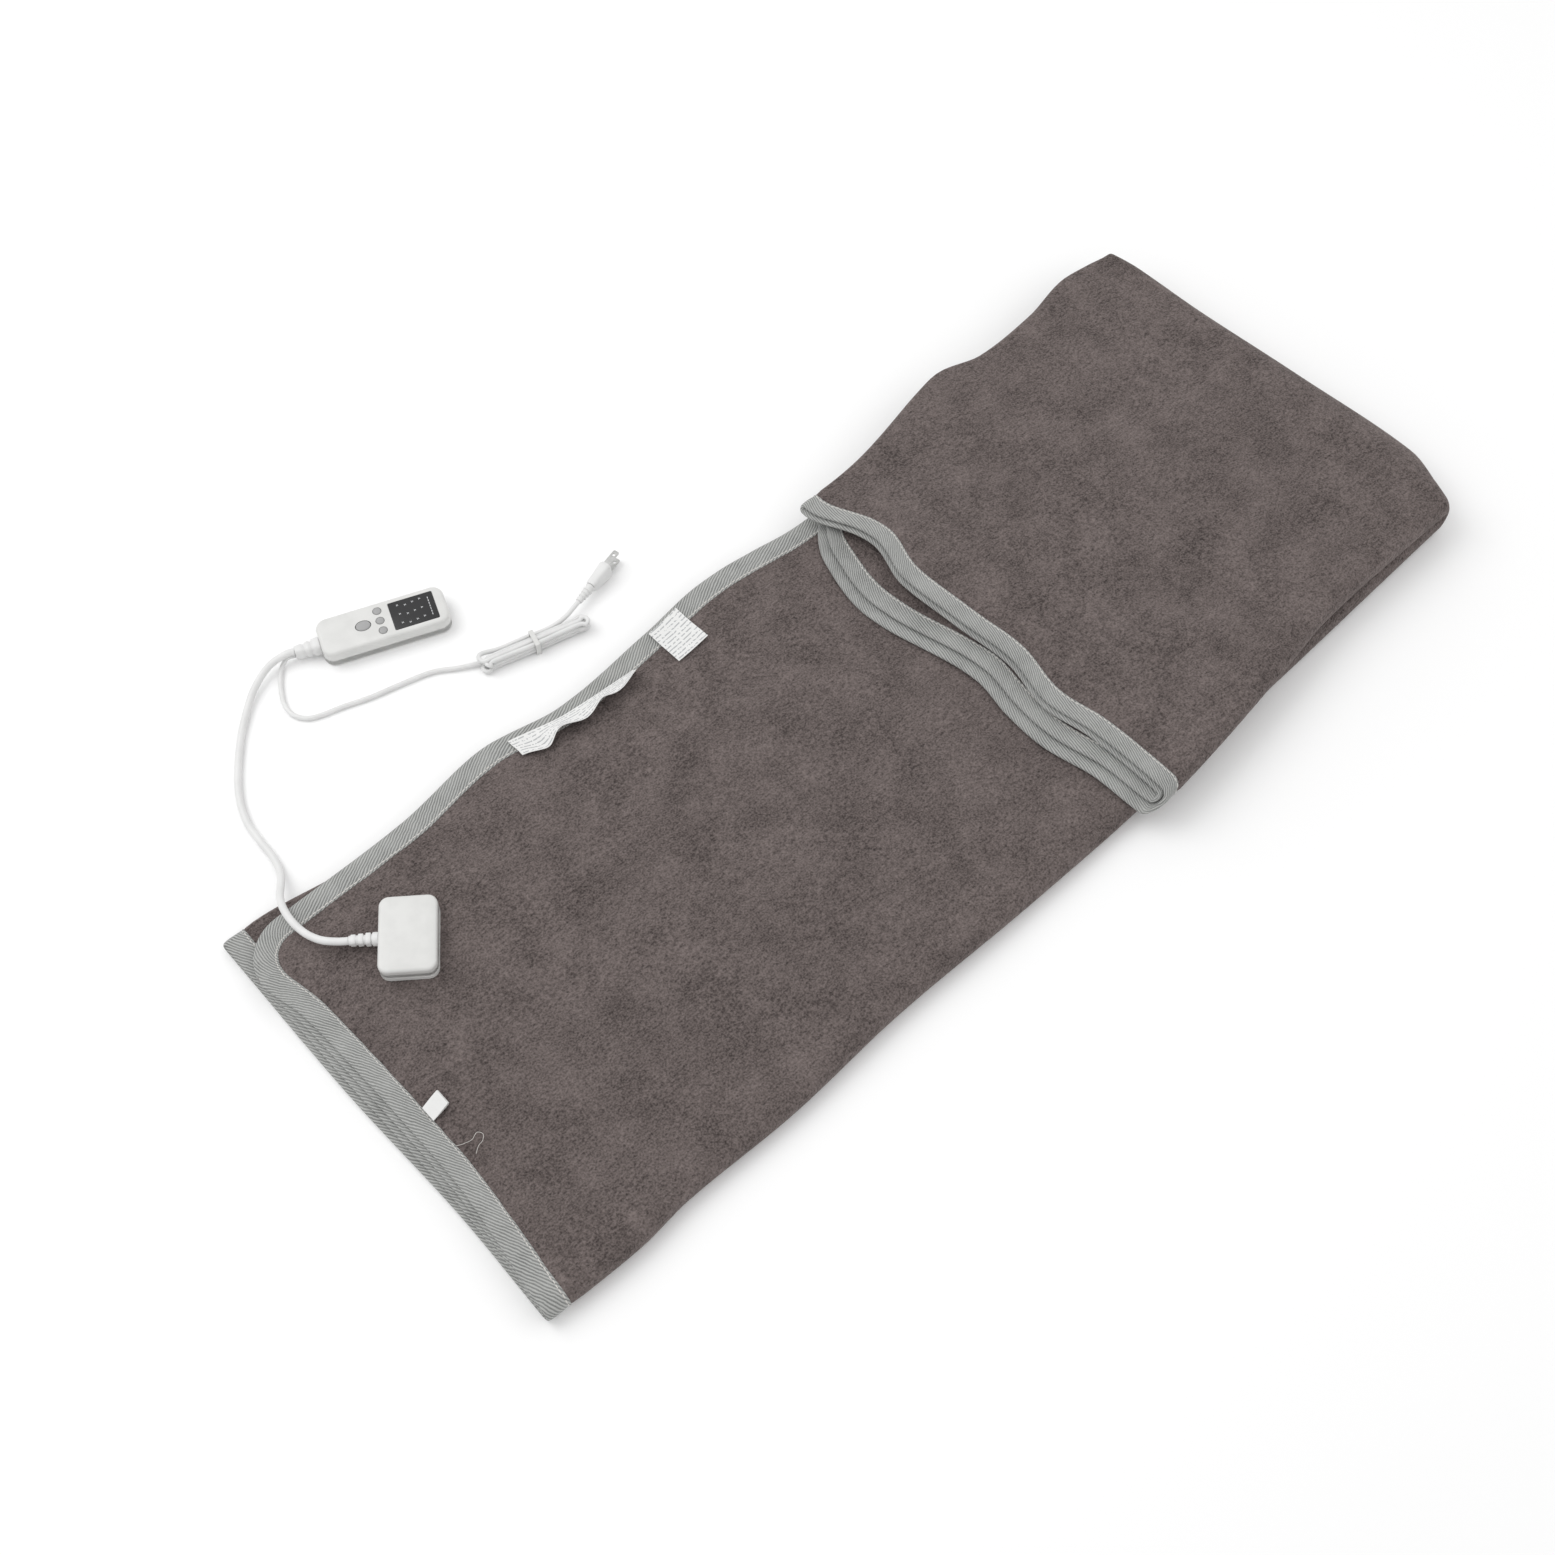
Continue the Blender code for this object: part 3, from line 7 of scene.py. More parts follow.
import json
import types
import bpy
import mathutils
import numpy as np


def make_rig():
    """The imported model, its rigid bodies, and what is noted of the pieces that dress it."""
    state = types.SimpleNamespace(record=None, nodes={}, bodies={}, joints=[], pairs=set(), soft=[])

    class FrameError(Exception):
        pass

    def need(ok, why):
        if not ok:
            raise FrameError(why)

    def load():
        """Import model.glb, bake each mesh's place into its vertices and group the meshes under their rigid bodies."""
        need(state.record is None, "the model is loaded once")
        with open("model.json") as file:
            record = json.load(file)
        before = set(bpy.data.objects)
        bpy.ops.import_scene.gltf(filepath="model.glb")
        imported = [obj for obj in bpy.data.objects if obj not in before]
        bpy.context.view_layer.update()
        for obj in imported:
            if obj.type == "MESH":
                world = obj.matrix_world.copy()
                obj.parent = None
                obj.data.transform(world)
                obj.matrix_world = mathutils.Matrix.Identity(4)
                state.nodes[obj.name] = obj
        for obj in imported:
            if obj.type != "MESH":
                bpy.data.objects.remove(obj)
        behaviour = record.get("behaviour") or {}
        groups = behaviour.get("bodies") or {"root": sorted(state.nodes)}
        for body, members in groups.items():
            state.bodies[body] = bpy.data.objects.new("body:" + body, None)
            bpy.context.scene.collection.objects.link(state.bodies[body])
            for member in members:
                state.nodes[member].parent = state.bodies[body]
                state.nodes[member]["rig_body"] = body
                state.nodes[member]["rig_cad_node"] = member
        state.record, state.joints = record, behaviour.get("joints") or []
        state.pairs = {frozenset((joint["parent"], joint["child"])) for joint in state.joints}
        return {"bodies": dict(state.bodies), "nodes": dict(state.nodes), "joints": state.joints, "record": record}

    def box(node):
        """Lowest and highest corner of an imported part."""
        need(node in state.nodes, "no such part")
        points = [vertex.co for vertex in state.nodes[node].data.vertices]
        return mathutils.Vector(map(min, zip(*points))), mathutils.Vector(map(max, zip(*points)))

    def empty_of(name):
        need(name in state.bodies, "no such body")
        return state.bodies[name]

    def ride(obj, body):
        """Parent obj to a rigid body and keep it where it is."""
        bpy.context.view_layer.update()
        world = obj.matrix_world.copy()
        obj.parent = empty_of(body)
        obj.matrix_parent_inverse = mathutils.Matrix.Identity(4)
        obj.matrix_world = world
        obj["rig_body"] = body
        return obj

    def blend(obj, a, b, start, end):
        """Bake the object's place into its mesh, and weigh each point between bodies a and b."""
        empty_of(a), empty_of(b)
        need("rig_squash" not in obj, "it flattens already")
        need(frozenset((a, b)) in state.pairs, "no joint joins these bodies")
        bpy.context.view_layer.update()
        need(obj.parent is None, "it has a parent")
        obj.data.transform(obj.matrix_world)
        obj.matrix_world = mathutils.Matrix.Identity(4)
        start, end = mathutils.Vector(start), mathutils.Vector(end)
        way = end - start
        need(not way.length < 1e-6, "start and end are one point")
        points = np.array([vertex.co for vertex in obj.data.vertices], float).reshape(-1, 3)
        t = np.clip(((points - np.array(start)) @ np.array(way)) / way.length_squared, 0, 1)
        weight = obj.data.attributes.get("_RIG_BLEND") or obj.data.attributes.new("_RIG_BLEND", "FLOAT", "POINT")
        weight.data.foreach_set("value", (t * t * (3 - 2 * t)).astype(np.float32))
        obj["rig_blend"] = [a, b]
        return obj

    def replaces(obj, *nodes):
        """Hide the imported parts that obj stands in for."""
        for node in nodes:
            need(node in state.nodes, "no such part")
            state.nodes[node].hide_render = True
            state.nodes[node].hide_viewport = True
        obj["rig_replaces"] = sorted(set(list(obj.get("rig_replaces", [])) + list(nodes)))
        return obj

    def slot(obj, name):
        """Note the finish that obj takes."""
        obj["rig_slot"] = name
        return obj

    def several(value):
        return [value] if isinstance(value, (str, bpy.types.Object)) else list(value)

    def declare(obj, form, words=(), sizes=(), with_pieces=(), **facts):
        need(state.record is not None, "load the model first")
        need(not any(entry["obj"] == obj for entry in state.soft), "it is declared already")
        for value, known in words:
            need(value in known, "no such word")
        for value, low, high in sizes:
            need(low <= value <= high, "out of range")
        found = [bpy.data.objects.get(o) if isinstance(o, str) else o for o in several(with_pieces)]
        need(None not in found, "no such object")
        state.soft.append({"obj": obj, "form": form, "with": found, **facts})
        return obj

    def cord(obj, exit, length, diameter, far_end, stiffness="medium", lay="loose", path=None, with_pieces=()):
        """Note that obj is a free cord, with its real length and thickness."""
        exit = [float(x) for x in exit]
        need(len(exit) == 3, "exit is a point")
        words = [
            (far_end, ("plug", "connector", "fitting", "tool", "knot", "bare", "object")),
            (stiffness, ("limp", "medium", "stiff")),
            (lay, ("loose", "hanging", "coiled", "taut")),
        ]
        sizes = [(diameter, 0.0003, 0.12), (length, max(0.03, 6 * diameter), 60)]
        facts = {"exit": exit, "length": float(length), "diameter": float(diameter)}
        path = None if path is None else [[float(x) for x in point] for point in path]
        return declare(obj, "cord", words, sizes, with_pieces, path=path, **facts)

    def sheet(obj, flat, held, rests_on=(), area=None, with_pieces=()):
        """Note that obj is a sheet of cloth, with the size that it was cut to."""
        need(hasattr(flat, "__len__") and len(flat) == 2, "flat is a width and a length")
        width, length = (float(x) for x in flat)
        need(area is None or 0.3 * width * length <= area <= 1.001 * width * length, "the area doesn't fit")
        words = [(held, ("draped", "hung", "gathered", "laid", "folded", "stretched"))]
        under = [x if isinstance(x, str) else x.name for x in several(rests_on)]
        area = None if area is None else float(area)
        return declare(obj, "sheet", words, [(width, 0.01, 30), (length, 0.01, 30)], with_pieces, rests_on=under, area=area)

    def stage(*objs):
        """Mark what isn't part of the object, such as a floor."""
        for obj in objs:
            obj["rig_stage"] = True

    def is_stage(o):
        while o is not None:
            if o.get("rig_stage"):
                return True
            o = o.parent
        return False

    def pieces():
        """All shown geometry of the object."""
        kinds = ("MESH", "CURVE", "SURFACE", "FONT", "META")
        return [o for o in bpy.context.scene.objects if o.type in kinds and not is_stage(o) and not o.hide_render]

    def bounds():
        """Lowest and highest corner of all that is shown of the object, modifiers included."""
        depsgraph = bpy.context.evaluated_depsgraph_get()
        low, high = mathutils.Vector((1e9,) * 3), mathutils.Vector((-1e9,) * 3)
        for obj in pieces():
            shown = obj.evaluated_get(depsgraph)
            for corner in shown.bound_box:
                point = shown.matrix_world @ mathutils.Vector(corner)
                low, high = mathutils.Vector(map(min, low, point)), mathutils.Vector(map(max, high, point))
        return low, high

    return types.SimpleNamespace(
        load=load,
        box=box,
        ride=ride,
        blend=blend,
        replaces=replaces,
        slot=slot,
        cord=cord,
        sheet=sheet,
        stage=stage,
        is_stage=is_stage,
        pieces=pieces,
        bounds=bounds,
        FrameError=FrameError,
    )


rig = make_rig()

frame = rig.load()

import bisect
import itertools
import json
import logging
import math
from dataclasses import dataclass, field
from enum import Enum
from typing import Callable, Iterable, Sequence

import bmesh
import bpy
from mathutils import Matrix, Vector, noise

LOG = logging.getLogger("heating_blanket")
SIZE_FILE = "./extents.json"
BLANKET, FLAP, PLUG = "blanket", "flap", "connector_plug"
CAD_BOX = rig.bounds()
CRISP_EDGE, SOFT_EDGE = 40.0, 60.0
AROUND = 32
SPLINE_STEPS = 12
Point = tuple[float, float, float]
Colour = tuple[float, float, float]
Pair = tuple[float, float]
Shape = bmesh.types.BMesh
Piece = bpy.types.Object


# --- Small helpers -----------------------------------------------------------------------------------
def ease(value: float) -> float:
    """Go from 0 to 1 with a level start and end."""
    value = min(max(value, 0.0), 1.0)
    return value * value * (3 - 2 * value)


def mixed(first: float, second: float, share: float) -> float:
    """The value a share of the way from the first to the second."""
    return first + (second - first) * share


def travelled(steps: Iterable[float]) -> list[float]:
    """How far each point of a path lies from its start, from the steps between them."""
    return [0.0, *itertools.accumulate(steps)]


def flat_steps(path: Sequence[Sequence[float]]) -> list[float]:
    """The level distances between the points of a path."""
    return [math.dist(first[:2], second[:2]) for first, second in zip(path, path[1:])]


@dataclass(frozen=True)
class Contour:
    """A smooth line through a few chosen points, such as how far an edge wanders from straight."""

    points: tuple[Pair, ...]

    def at(self, place: float) -> float:
        """Read the line.

        Args:
            place: Where along the line.

        Returns:
            The line's height there, level beyond both ends.
        """
        spots = [spot for spot, _ in self.points]
        if place <= spots[0]:
            return self.points[0][1]
        if place >= spots[-1]:
            return self.points[-1][1]
        right = bisect.bisect_right(spots, place)
        (start, low), (end, high) = self.points[right - 1], self.points[right]
        share = (place - start) / (end - start)
        rise, fall = (self._slope(knot) * (end - start) for knot in (right - 1, right))
        square, cube = share * share, share**3
        bend = (cube - 2 * square + share) * rise + (cube - square) * fall
        return mixed(low, high, 3 * square - 2 * cube) + bend

    def _slope(self, knot: int) -> float:
        """The slope at a knot, from its neighbours."""
        before, after = self.points[max(knot - 1, 0)], self.points[min(knot + 1, len(self.points) - 1)]
        return (after[1] - before[1]) / (after[0] - before[0])


# --- Shader graph ------------------------------------------------------------------------------------
@dataclass(frozen=True)
class Value:
    """A value that varies over a surface, held as a node's output, with sums written as Python."""

    graph: "Graph"
    socket: bpy.types.NodeSocket

    def _math(self, operation: str, *terms: "float | Value") -> "Value":
        """Add one Math node on the terms, in order."""
        return self.graph.add("ShaderNodeMath", {"operation": operation}, dict(enumerate(terms)))

    def __add__(self, other: "float | Value") -> "Value":
        """Sum."""
        return self._math("ADD", self, other)

    def __radd__(self, other: float) -> "Value":
        """Sum with a number on the left."""
        return self._math("ADD", other, self)

    def __sub__(self, other: "float | Value") -> "Value":
        """Difference."""
        return self._math("SUBTRACT", self, other)

    def __rsub__(self, other: float) -> "Value":
        """Difference from a number."""
        return self._math("SUBTRACT", other, self)

    def __mul__(self, other: "float | Value") -> "Value":
        """Product."""
        return self._math("MULTIPLY", self, other)

    def __rmul__(self, other: float) -> "Value":
        """Product with a number on the left."""
        return self._math("MULTIPLY", other, self)

    def __gt__(self, other: float) -> "Value":
        """1 where the value is greater, else 0."""
        return self._math("GREATER_THAN", self, other)

    def sine(self) -> "Value":
        """Sine of a value in radians."""
        return self._math("SINE", self)

    def size(self) -> "Value":
        """The value without its sign."""
        return self._math("ABSOLUTE", self)

    def fraction(self) -> "Value":
        """What is left above the whole number."""
        return self._math("FRACT", self)


class Graph:
    """The node tree of one material."""

    def __init__(self, name: str) -> None:
        """Start a material with a plain Principled shader."""
        self.material = bpy.data.materials.new(f"look_{name}")
        self.material.use_nodes = True
        self.tree = self.material.node_tree
        self.shader = self.tree.nodes["Principled BSDF"]

    def add(self, kind: str, settings: dict, inputs: dict, output: int | str = 0) -> Value:
        """Add a node.

        Args:
            kind: The node's type.
            settings: Its properties, and a ramp's stops, set before its sockets.
            inputs: Values or links by socket name or number.
            output: The socket to read.

        Returns:
            The output as a value.
        """
        node = self.tree.nodes.new(kind)
        for name, setting in settings.items():
            if name == "stops":
                self._set_stops(node, setting)
            else:
                setattr(node, name, setting)
        for key, value in inputs.items():
            self.put(node.inputs[key], value)
        return Value(self, node.outputs[output])

    def put(self, socket: bpy.types.NodeSocket, value: object) -> None:
        """Link a value to a socket, or set the socket's own number or colour."""
        if isinstance(value, Value):
            self.tree.links.new(value.socket, socket)
        else:
            socket.default_value = value

    def _set_stops(self, node: bpy.types.Node, stops: Sequence[Pair]) -> None:
        """Give a ramp its (place, brightness) stops."""
        ramp = node.color_ramp
        while len(ramp.elements) < len(stops):
            ramp.elements.new(0.5)
        for element, (place, level) in zip(ramp.elements, stops):
            element.position = place
            element.color = (level, level, level, 1.0)

    def shade(self, **settings: object) -> None:
        """Set the Principled shader's sockets; an underscore in a name stands for a space."""
        for name, value in settings.items():
            self.put(self.shader.inputs[name.replace("_", " ")], value)

    def spot(self) -> Value:
        """The place on the piece, in metres."""
        return self.add("ShaderNodeTexCoord", {}, {}, "Object")

    def grain(self, scale: float, detail: float = 2.0, stretch: Point = (1.0, 1.0, 1.0)) -> Value:
        """Noise with about so many features a metre, from 0 to 1."""
        place = self.add("ShaderNodeMapping", {}, {"Vector": self.spot(), "Scale": stretch})
        inputs = {"Vector": place, "Scale": scale, "Detail": detail}
        return self.add("ShaderNodeTexNoise", {}, inputs, 0)

    def ramp(self, value: Value, *stops: Pair) -> Value:
        """Remap a value through a ramp of (place, level) stops."""
        return self.add("ShaderNodeValToRGB", {"stops": stops}, {0: value})

    def blend(self, share: "float | Value", first: object, second: object) -> Value:
        """Mix two colours."""
        sides = [side if isinstance(side, Value) else (*side, 1.0) for side in (first, second)]
        return self.add("ShaderNodeMix", {"data_type": "RGBA"}, {0: share, 6: sides[0], 7: sides[1]}, 2)

    def bump(
        self, height: Value, distance: float, strength: float = 1.0, below: Value | None = None
    ) -> Value:
        """Turn a height into a normal, on top of another one."""
        inputs = {"Height": height, "Distance": distance, "Strength": strength}
        if below is not None:
            inputs["Normal"] = below
        return self.add("ShaderNodeBump", {}, inputs)

    def uv(self) -> tuple[Value, Value]:
        """The piece's own map, in metres along and across."""
        place = self.add("ShaderNodeUVMap", {}, {})
        parts = [self.add("ShaderNodeSeparateXYZ", {}, {0: place}, axis) for axis in ("X", "Y")]
        return parts[0], parts[1]


# --- Finishes ----------------------------------------------------------------------------------------
@dataclass(frozen=True)
class Fleece:
    """Short brushed pile in a warm grey, mottled where the nap lies different ways."""

    light: Colour = (0.208, 0.171, 0.163)
    dark: Colour = (0.044, 0.035, 0.033)
    patch_scale: float = 30.0
    fleck_scale: float = 190.0
    pile_scale: float = 560.0

    def make(self) -> bpy.types.Material:
        """Build the material."""
        graph = Graph("fleece")
        patches = graph.grain(self.patch_scale, 4.0)
        flecks = graph.grain(self.fleck_scale, 3.0, (1.0, 1.6, 1.0))
        pile = graph.grain(self.pile_scale, 2.0)
        tone = graph.ramp(patches * 0.24 + flecks * 0.28 + pile * 0.48, (0.35, 0.0), (0.65, 1.0))
        graph.shade(
            Base_Color=graph.blend(tone, self.dark, self.light),
            Roughness=0.95,
            Specular_IOR_Level=0.15,
            Sheen_Weight=0.22,
            Sheen_Roughness=0.55,
            Sheen_Tint=(0.62, 0.56, 0.54, 1.0),
            Normal=graph.bump(pile, 0.0016, 1.0, graph.bump(flecks, 0.0022, 0.9)),
        )
        return graph.material


@dataclass(frozen=True)
class Twill:
    """Soft ribbed edge tape, its fine ribs slanting across its width, the grooves between them darkened with painted
    shade.
    """

    rib: float = 0.0025
    light: Colour = (0.465, 0.470, 0.456)
    # dark also serves as the painted shade in the grooves between the ribs.
    dark: Colour = (0.150, 0.153, 0.148)

    def make(self) -> bpy.types.Material:
        """Build the material."""
        graph = Graph("edge_tape")
        along, across = graph.uv()
        waver = graph.grain(120.0, 2.0)
        ribs = ((along * 0.5 + across * 0.87 + waver * 0.0022) * (2 * math.pi / self.rib)).sine() * 0.5 + 0.5
        yarn = graph.grain(1500.0, 1.0)
        worn = graph.grain(45.0, 3.0)
        # The rib sine darkens the grooves as painted shade; yarn and worn add random tone on top.
        tone = graph.ramp(ribs * 0.42 + yarn * 0.26 + worn * 0.32, (0.20, 0.0), (0.66, 1.0))
        graph.shade(
            Base_Color=graph.blend(tone, self.dark, self.light),
            Roughness=0.85,
            Specular_IOR_Level=0.2,
            Sheen_Weight=0.12,
            Sheen_Roughness=0.5,
            Normal=graph.bump(ribs, 0.0006, 0.9, graph.bump(yarn, 0.0004, 0.7)),
        )
        return graph.material


@dataclass(frozen=True)
class Moulded:
    """A moulded plastic or rubber with a fine spark texture and faint handling marks."""

    name: str
    colour: Colour
    roughness: float
    texture: float = 0.00004
    texture_scale: float = 2600.0
    coat: float = 0.0

    def make(self) -> bpy.types.Material:
        """Build the material."""
        graph = Graph(self.name)
        spark = graph.grain(self.texture_scale, 1.0)
        cloud = graph.grain(60.0, 3.0)
        shade = tuple(part * 0.94 for part in self.colour)
        graph.shade(
            Base_Color=graph.blend(graph.ramp(cloud, (0.35, 0.0), (0.65, 1.0)), shade, self.colour),
            Roughness=cloud * 0.12 + (self.roughness - 0.06),
            Coat_Weight=self.coat,
            Normal=graph.bump(spark, self.texture, 0.6),
        )
        return graph.material


@dataclass(frozen=True)
class Metal:
    """A turned or stamped metal, brushed along one way."""

    name: str
    colour: Colour
    roughness: float

    def make(self) -> bpy.types.Material:
        """Build the material."""
        graph = Graph(self.name)
        brushed = graph.grain(900.0, 2.0, (1.0, 1.0, 6.0))
        tarnish = graph.grain(240.0, 3.0)
        shade = tuple(part * 0.8 for part in self.colour)
        graph.shade(
            Base_Color=graph.blend(graph.ramp(tarnish, (0.4, 0.0), (0.7, 1.0)), self.colour, shade),
            Metallic=1.0,
            Roughness=brushed * 0.15 + self.roughness,
            Normal=graph.bump(brushed, 0.00004, 0.5),
        )
        return graph.material


@dataclass(frozen=True)
class Tape:
    """White woven label cloth, plain or with rows of small blank bars printed on it."""

    name: str
    bars: bool
    row: float = 0.0042
    colour: Colour = (0.80, 0.80, 0.79)
    ink: Colour = (0.33, 0.34, 0.35)

    def make(self) -> bpy.types.Material:
        """Build the material."""
        graph = Graph(self.name)
        along, across = graph.uv()
        threads = 2 * math.pi / 0.0007
        weave = (along * threads).sine() * (across * threads).sine() * 0.5 + 0.5
        soiled = graph.grain(80.0, 2.0)
        cloth = graph.blend(soiled, tuple(part * 0.92 for part in self.colour), self.colour)
        if self.bars:
            line = (across * (1 / self.row)).fraction() - 0.5
            in_row = 1 - (line.size() > 0.17)
            broken = graph.grain(420.0, 0.0, (1.0, 1.0, 1.0)) > 0.44
            cloth = graph.blend(in_row * broken * 0.75, cloth, self.ink)
        graph.shade(Base_Color=cloth, Roughness=0.8, Normal=graph.bump(weave, 0.0001, 0.5))
        return graph.material


@dataclass(frozen=True)
class Laminate:
    """A green board with a lacquered surface and darker copper runs under it."""

    def make(self) -> bpy.types.Material:
        """Build the material."""
        graph = Graph("circuit_board")
        runs = graph.grain(320.0, 0.0, (1.0, 3.0, 1.0)) > 0.52
        colour = graph.blend(runs, (0.015, 0.12, 0.05), (0.03, 0.19, 0.07))
        graph.shade(Base_Color=colour, Roughness=0.35, Coat_Weight=0.4, Normal=graph.bump(runs, 0.00003, 0.5))
        return graph.material


class Finish(Enum):
    """The finishes of the object's pieces, each with the record's slot that it answers to."""

    FLEECE = ("fleece", Fleece())
    TWILL = ("binding", Twill())
    THREAD = ("binding", Moulded("thread", (0.62, 0.60, 0.57), 0.7, 0.00006, 3000.0))
    WIRE = ("wire_jacket", Moulded("wire_jacket", (0.70, 0.62, 0.45), 0.5))
    LABEL = ("label", Tape("printed_label", True))
    TAG = ("label", Tape("plain_tag", False))
    WHITE = ("white_plastic", Moulded("white_plastic", (0.68, 0.68, 0.665), 0.40, coat=0.1))
    CORD = ("cord_jacket", Moulded("cord_jacket", (0.74, 0.74, 0.735), 0.42, 0.00003, 1800.0))
    KEY = ("grey_button", Moulded("grey_button", (0.36, 0.36, 0.36), 0.5))
    SCREEN = ("screen", Moulded("screen", (0.011, 0.011, 0.012), 0.20, 0.00001, 800.0, coat=0.3))
    MARK = ("screen", Moulded("screen_mark", (0.62, 0.63, 0.64), 0.5))
    BRASS = ("contact_metal", Metal("contact_metal", (0.80, 0.68, 0.42), 0.25))
    STEEL = ("steel", Metal("steel", (0.62, 0.62, 0.61), 0.28))
    BOARD = ("circuit_board", Laminate())
    SILICONE = ("silicone", Moulded("silicone", (0.55, 0.55, 0.54), 0.7))
    BLACK = ("component", Moulded("component", (0.03, 0.03, 0.03), 0.5))

    def dress(self, piece: Piece) -> Piece:
        """Give a piece this finish and its slot."""
        piece.data.materials.clear()
        piece.data.materials.append(self.material())
        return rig.slot(piece, self.value[0])

    def material(self) -> bpy.types.Material:
        """The finish's material, made once."""
        if self not in MATERIALS:
            MATERIALS[self] = self.value[1].make()
        return MATERIALS[self]


MATERIALS: dict[Finish, bpy.types.Material] = {}


# --- Mesh tools --------------------------------------------------------------------------------------
def finished(
    name: str, shape: Shape, finish: Finish, body: str | None, sharp: float = CRISP_EDGE
) -> Piece:
    """Turn a bmesh into a dressed piece.

    Args:
        name: The piece's name.
        shape: Its closed shape, in the row frame; it is freed.
        finish: Its finish.
        body: The body it rides on, or None for a piece that is blended later.
        sharp: The angle in degrees above which an edge stays crisp.

    Returns:
        The piece.
    """
    bmesh.ops.recalc_face_normals(shape, faces=shape.faces)
    mesh = bpy.data.meshes.new(name)
    shape.to_mesh(mesh)
    shape.free()
    mesh.shade_smooth()
    mesh.set_sharp_from_angle(angle=math.radians(sharp))
    piece = finish.dress(linked(name, mesh))
    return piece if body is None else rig.ride(piece, body)


def rounded_box(
    size: Point, low: float, corner: float, top: float, bottom: float, crown: float = 0.0
) -> Shape:
    """A moulded box about the origin.

    Args:
        size: Length, width and height.
        low: The height of its underside.
        corner: The radius of its upright corners.
        top: The rounding of its top edge.
        bottom: The rounding of its bottom edge.
        crown: How much its top swells in the middle.

    Returns:
        The closed shape.
    """
    shape = bmesh.new()
    bmesh.ops.create_cube(shape, size=1.0)
    bmesh.ops.scale(shape, vec=size, verts=shape.verts)
    bmesh.ops.translate(shape, vec=(0, 0, low + size[2] / 2), verts=shape.verts)
    upright = [edge for edge in shape.edges if abs(edge.verts[0].co.z - edge.verts[1].co.z) > size[2] / 2]
    bevel(shape, upright, corner, 10)
    for height, width, steps in ((low + size[2], top, 6), (low, bottom, 3)):
        if width:
            rim = [edge for edge in shape.edges if all(abs(vert.co.z - height) < 1e-6 for vert in edge.verts)]
            bevel(shape, rim, width, steps)
    if crown:
        lid = max(shape.faces, key=lambda face: face.calc_center_median().z)
        for share, rise in ((0.90, 0.55), (0.72, 0.30), (0.45, 0.15)):
            lid = bmesh.ops.extrude_discrete_faces(shape, faces=[lid])["faces"][0]
            for vert in lid.verts:
                vert.co = (vert.co.x * share, vert.co.y * share, vert.co.z + crown * rise)
    return shape


def unit_grid(columns: int, rows: int) -> Shape:
    """A flat grid a metre square about the origin, to be laid out point by point."""
    shape = bmesh.new()
    bmesh.ops.create_grid(shape, x_segments=columns, y_segments=rows, size=0.5)
    return shape


def close(shape: Shape, within: float) -> None:
    """Merge a rolled grid's meeting edges and cap its open ends."""
    bmesh.ops.remove_doubles(shape, verts=shape.verts, dist=within)
    bmesh.ops.holes_fill(shape, edges=[edge for edge in shape.edges if edge.is_boundary], sides=0)


def linked(name: str, data: bpy.types.ID) -> Piece:
    """Put data in the scene as an object at the origin."""
    item = bpy.data.objects.new(name, data)
    bpy.context.scene.collection.objects.link(item)
    return item


def line_of(name: str, points: Sequence[Vector], radius: float, sides: int) -> bpy.types.Curve:
    """A round, capped curve along points."""
    data = bpy.data.curves.new(name, "CURVE")
    data.dimensions = "3D"
    data.bevel_depth, data.bevel_resolution, data.use_fill_caps = radius, sides, True
    line = data.splines.new("POLY")
    line.points.add(len(points) - 1)
    for knot, point in zip(line.points, points):
        knot.co = (*point, 1.0)
    return data


def bevel(shape: Shape, edges: list, width: float, steps: int) -> None:
    """Round some edges."""
    bmesh.ops.bevel(
        shape, geom=edges, offset=width, segments=steps, profile=0.5, affect="EDGES", material=-1,
        clamp_overlap=True,
    )


def lathe(profile: Iterable[Pair], steps: int = 32) -> Shape:
    """Spin a profile of (radius, height) points about Z; it starts and ends on the axis."""
    shape = bmesh.new()
    row = [shape.verts.new((radius, 0.0, height)) for radius, height in profile]
    edges = [shape.edges.new(pair) for pair in zip(row, row[1:])]
    bmesh.ops.spin(
        shape, geom=row + edges, cent=(0, 0, 0), axis=(0, 0, 1), angle=2 * math.pi, steps=steps,
        use_merge=True,
    )
    bmesh.ops.remove_doubles(shape, verts=shape.verts, dist=1e-6)
    return shape


def placed(shape: Shape, matrix: Matrix) -> Shape:
    """Move a shape."""
    bmesh.ops.transform(shape, matrix=matrix, verts=shape.verts)
    return shape


def cut(piece: Piece, cutters: Sequence[Shape]) -> Piece:
    """Cut closed shapes out of a piece, for good."""
    helpers = []
    for number, cutter in enumerate(cutters):
        bmesh.ops.recalc_face_normals(cutter, faces=cutter.faces)
        mesh = bpy.data.meshes.new("cutter")
        cutter.to_mesh(mesh)
        cutter.free()
        helper = linked(f"cutter_{number}", mesh)
        modifier = piece.modifiers.new(helper.name, "BOOLEAN")
        modifier.operation, modifier.object, modifier.solver = "DIFFERENCE", helper, "EXACT"
        helpers.append(helper)
    bpy.context.view_layer.update()
    graph = bpy.context.evaluated_depsgraph_get()
    solid = bpy.data.meshes.new_from_object(piece.evaluated_get(graph))
    piece.modifiers.clear()
    piece.data = solid
    solid.set_sharp_from_angle(angle=math.radians(CRISP_EDGE))
    for helper in helpers:
        bpy.data.objects.remove(helper, do_unlink=True)
    return piece


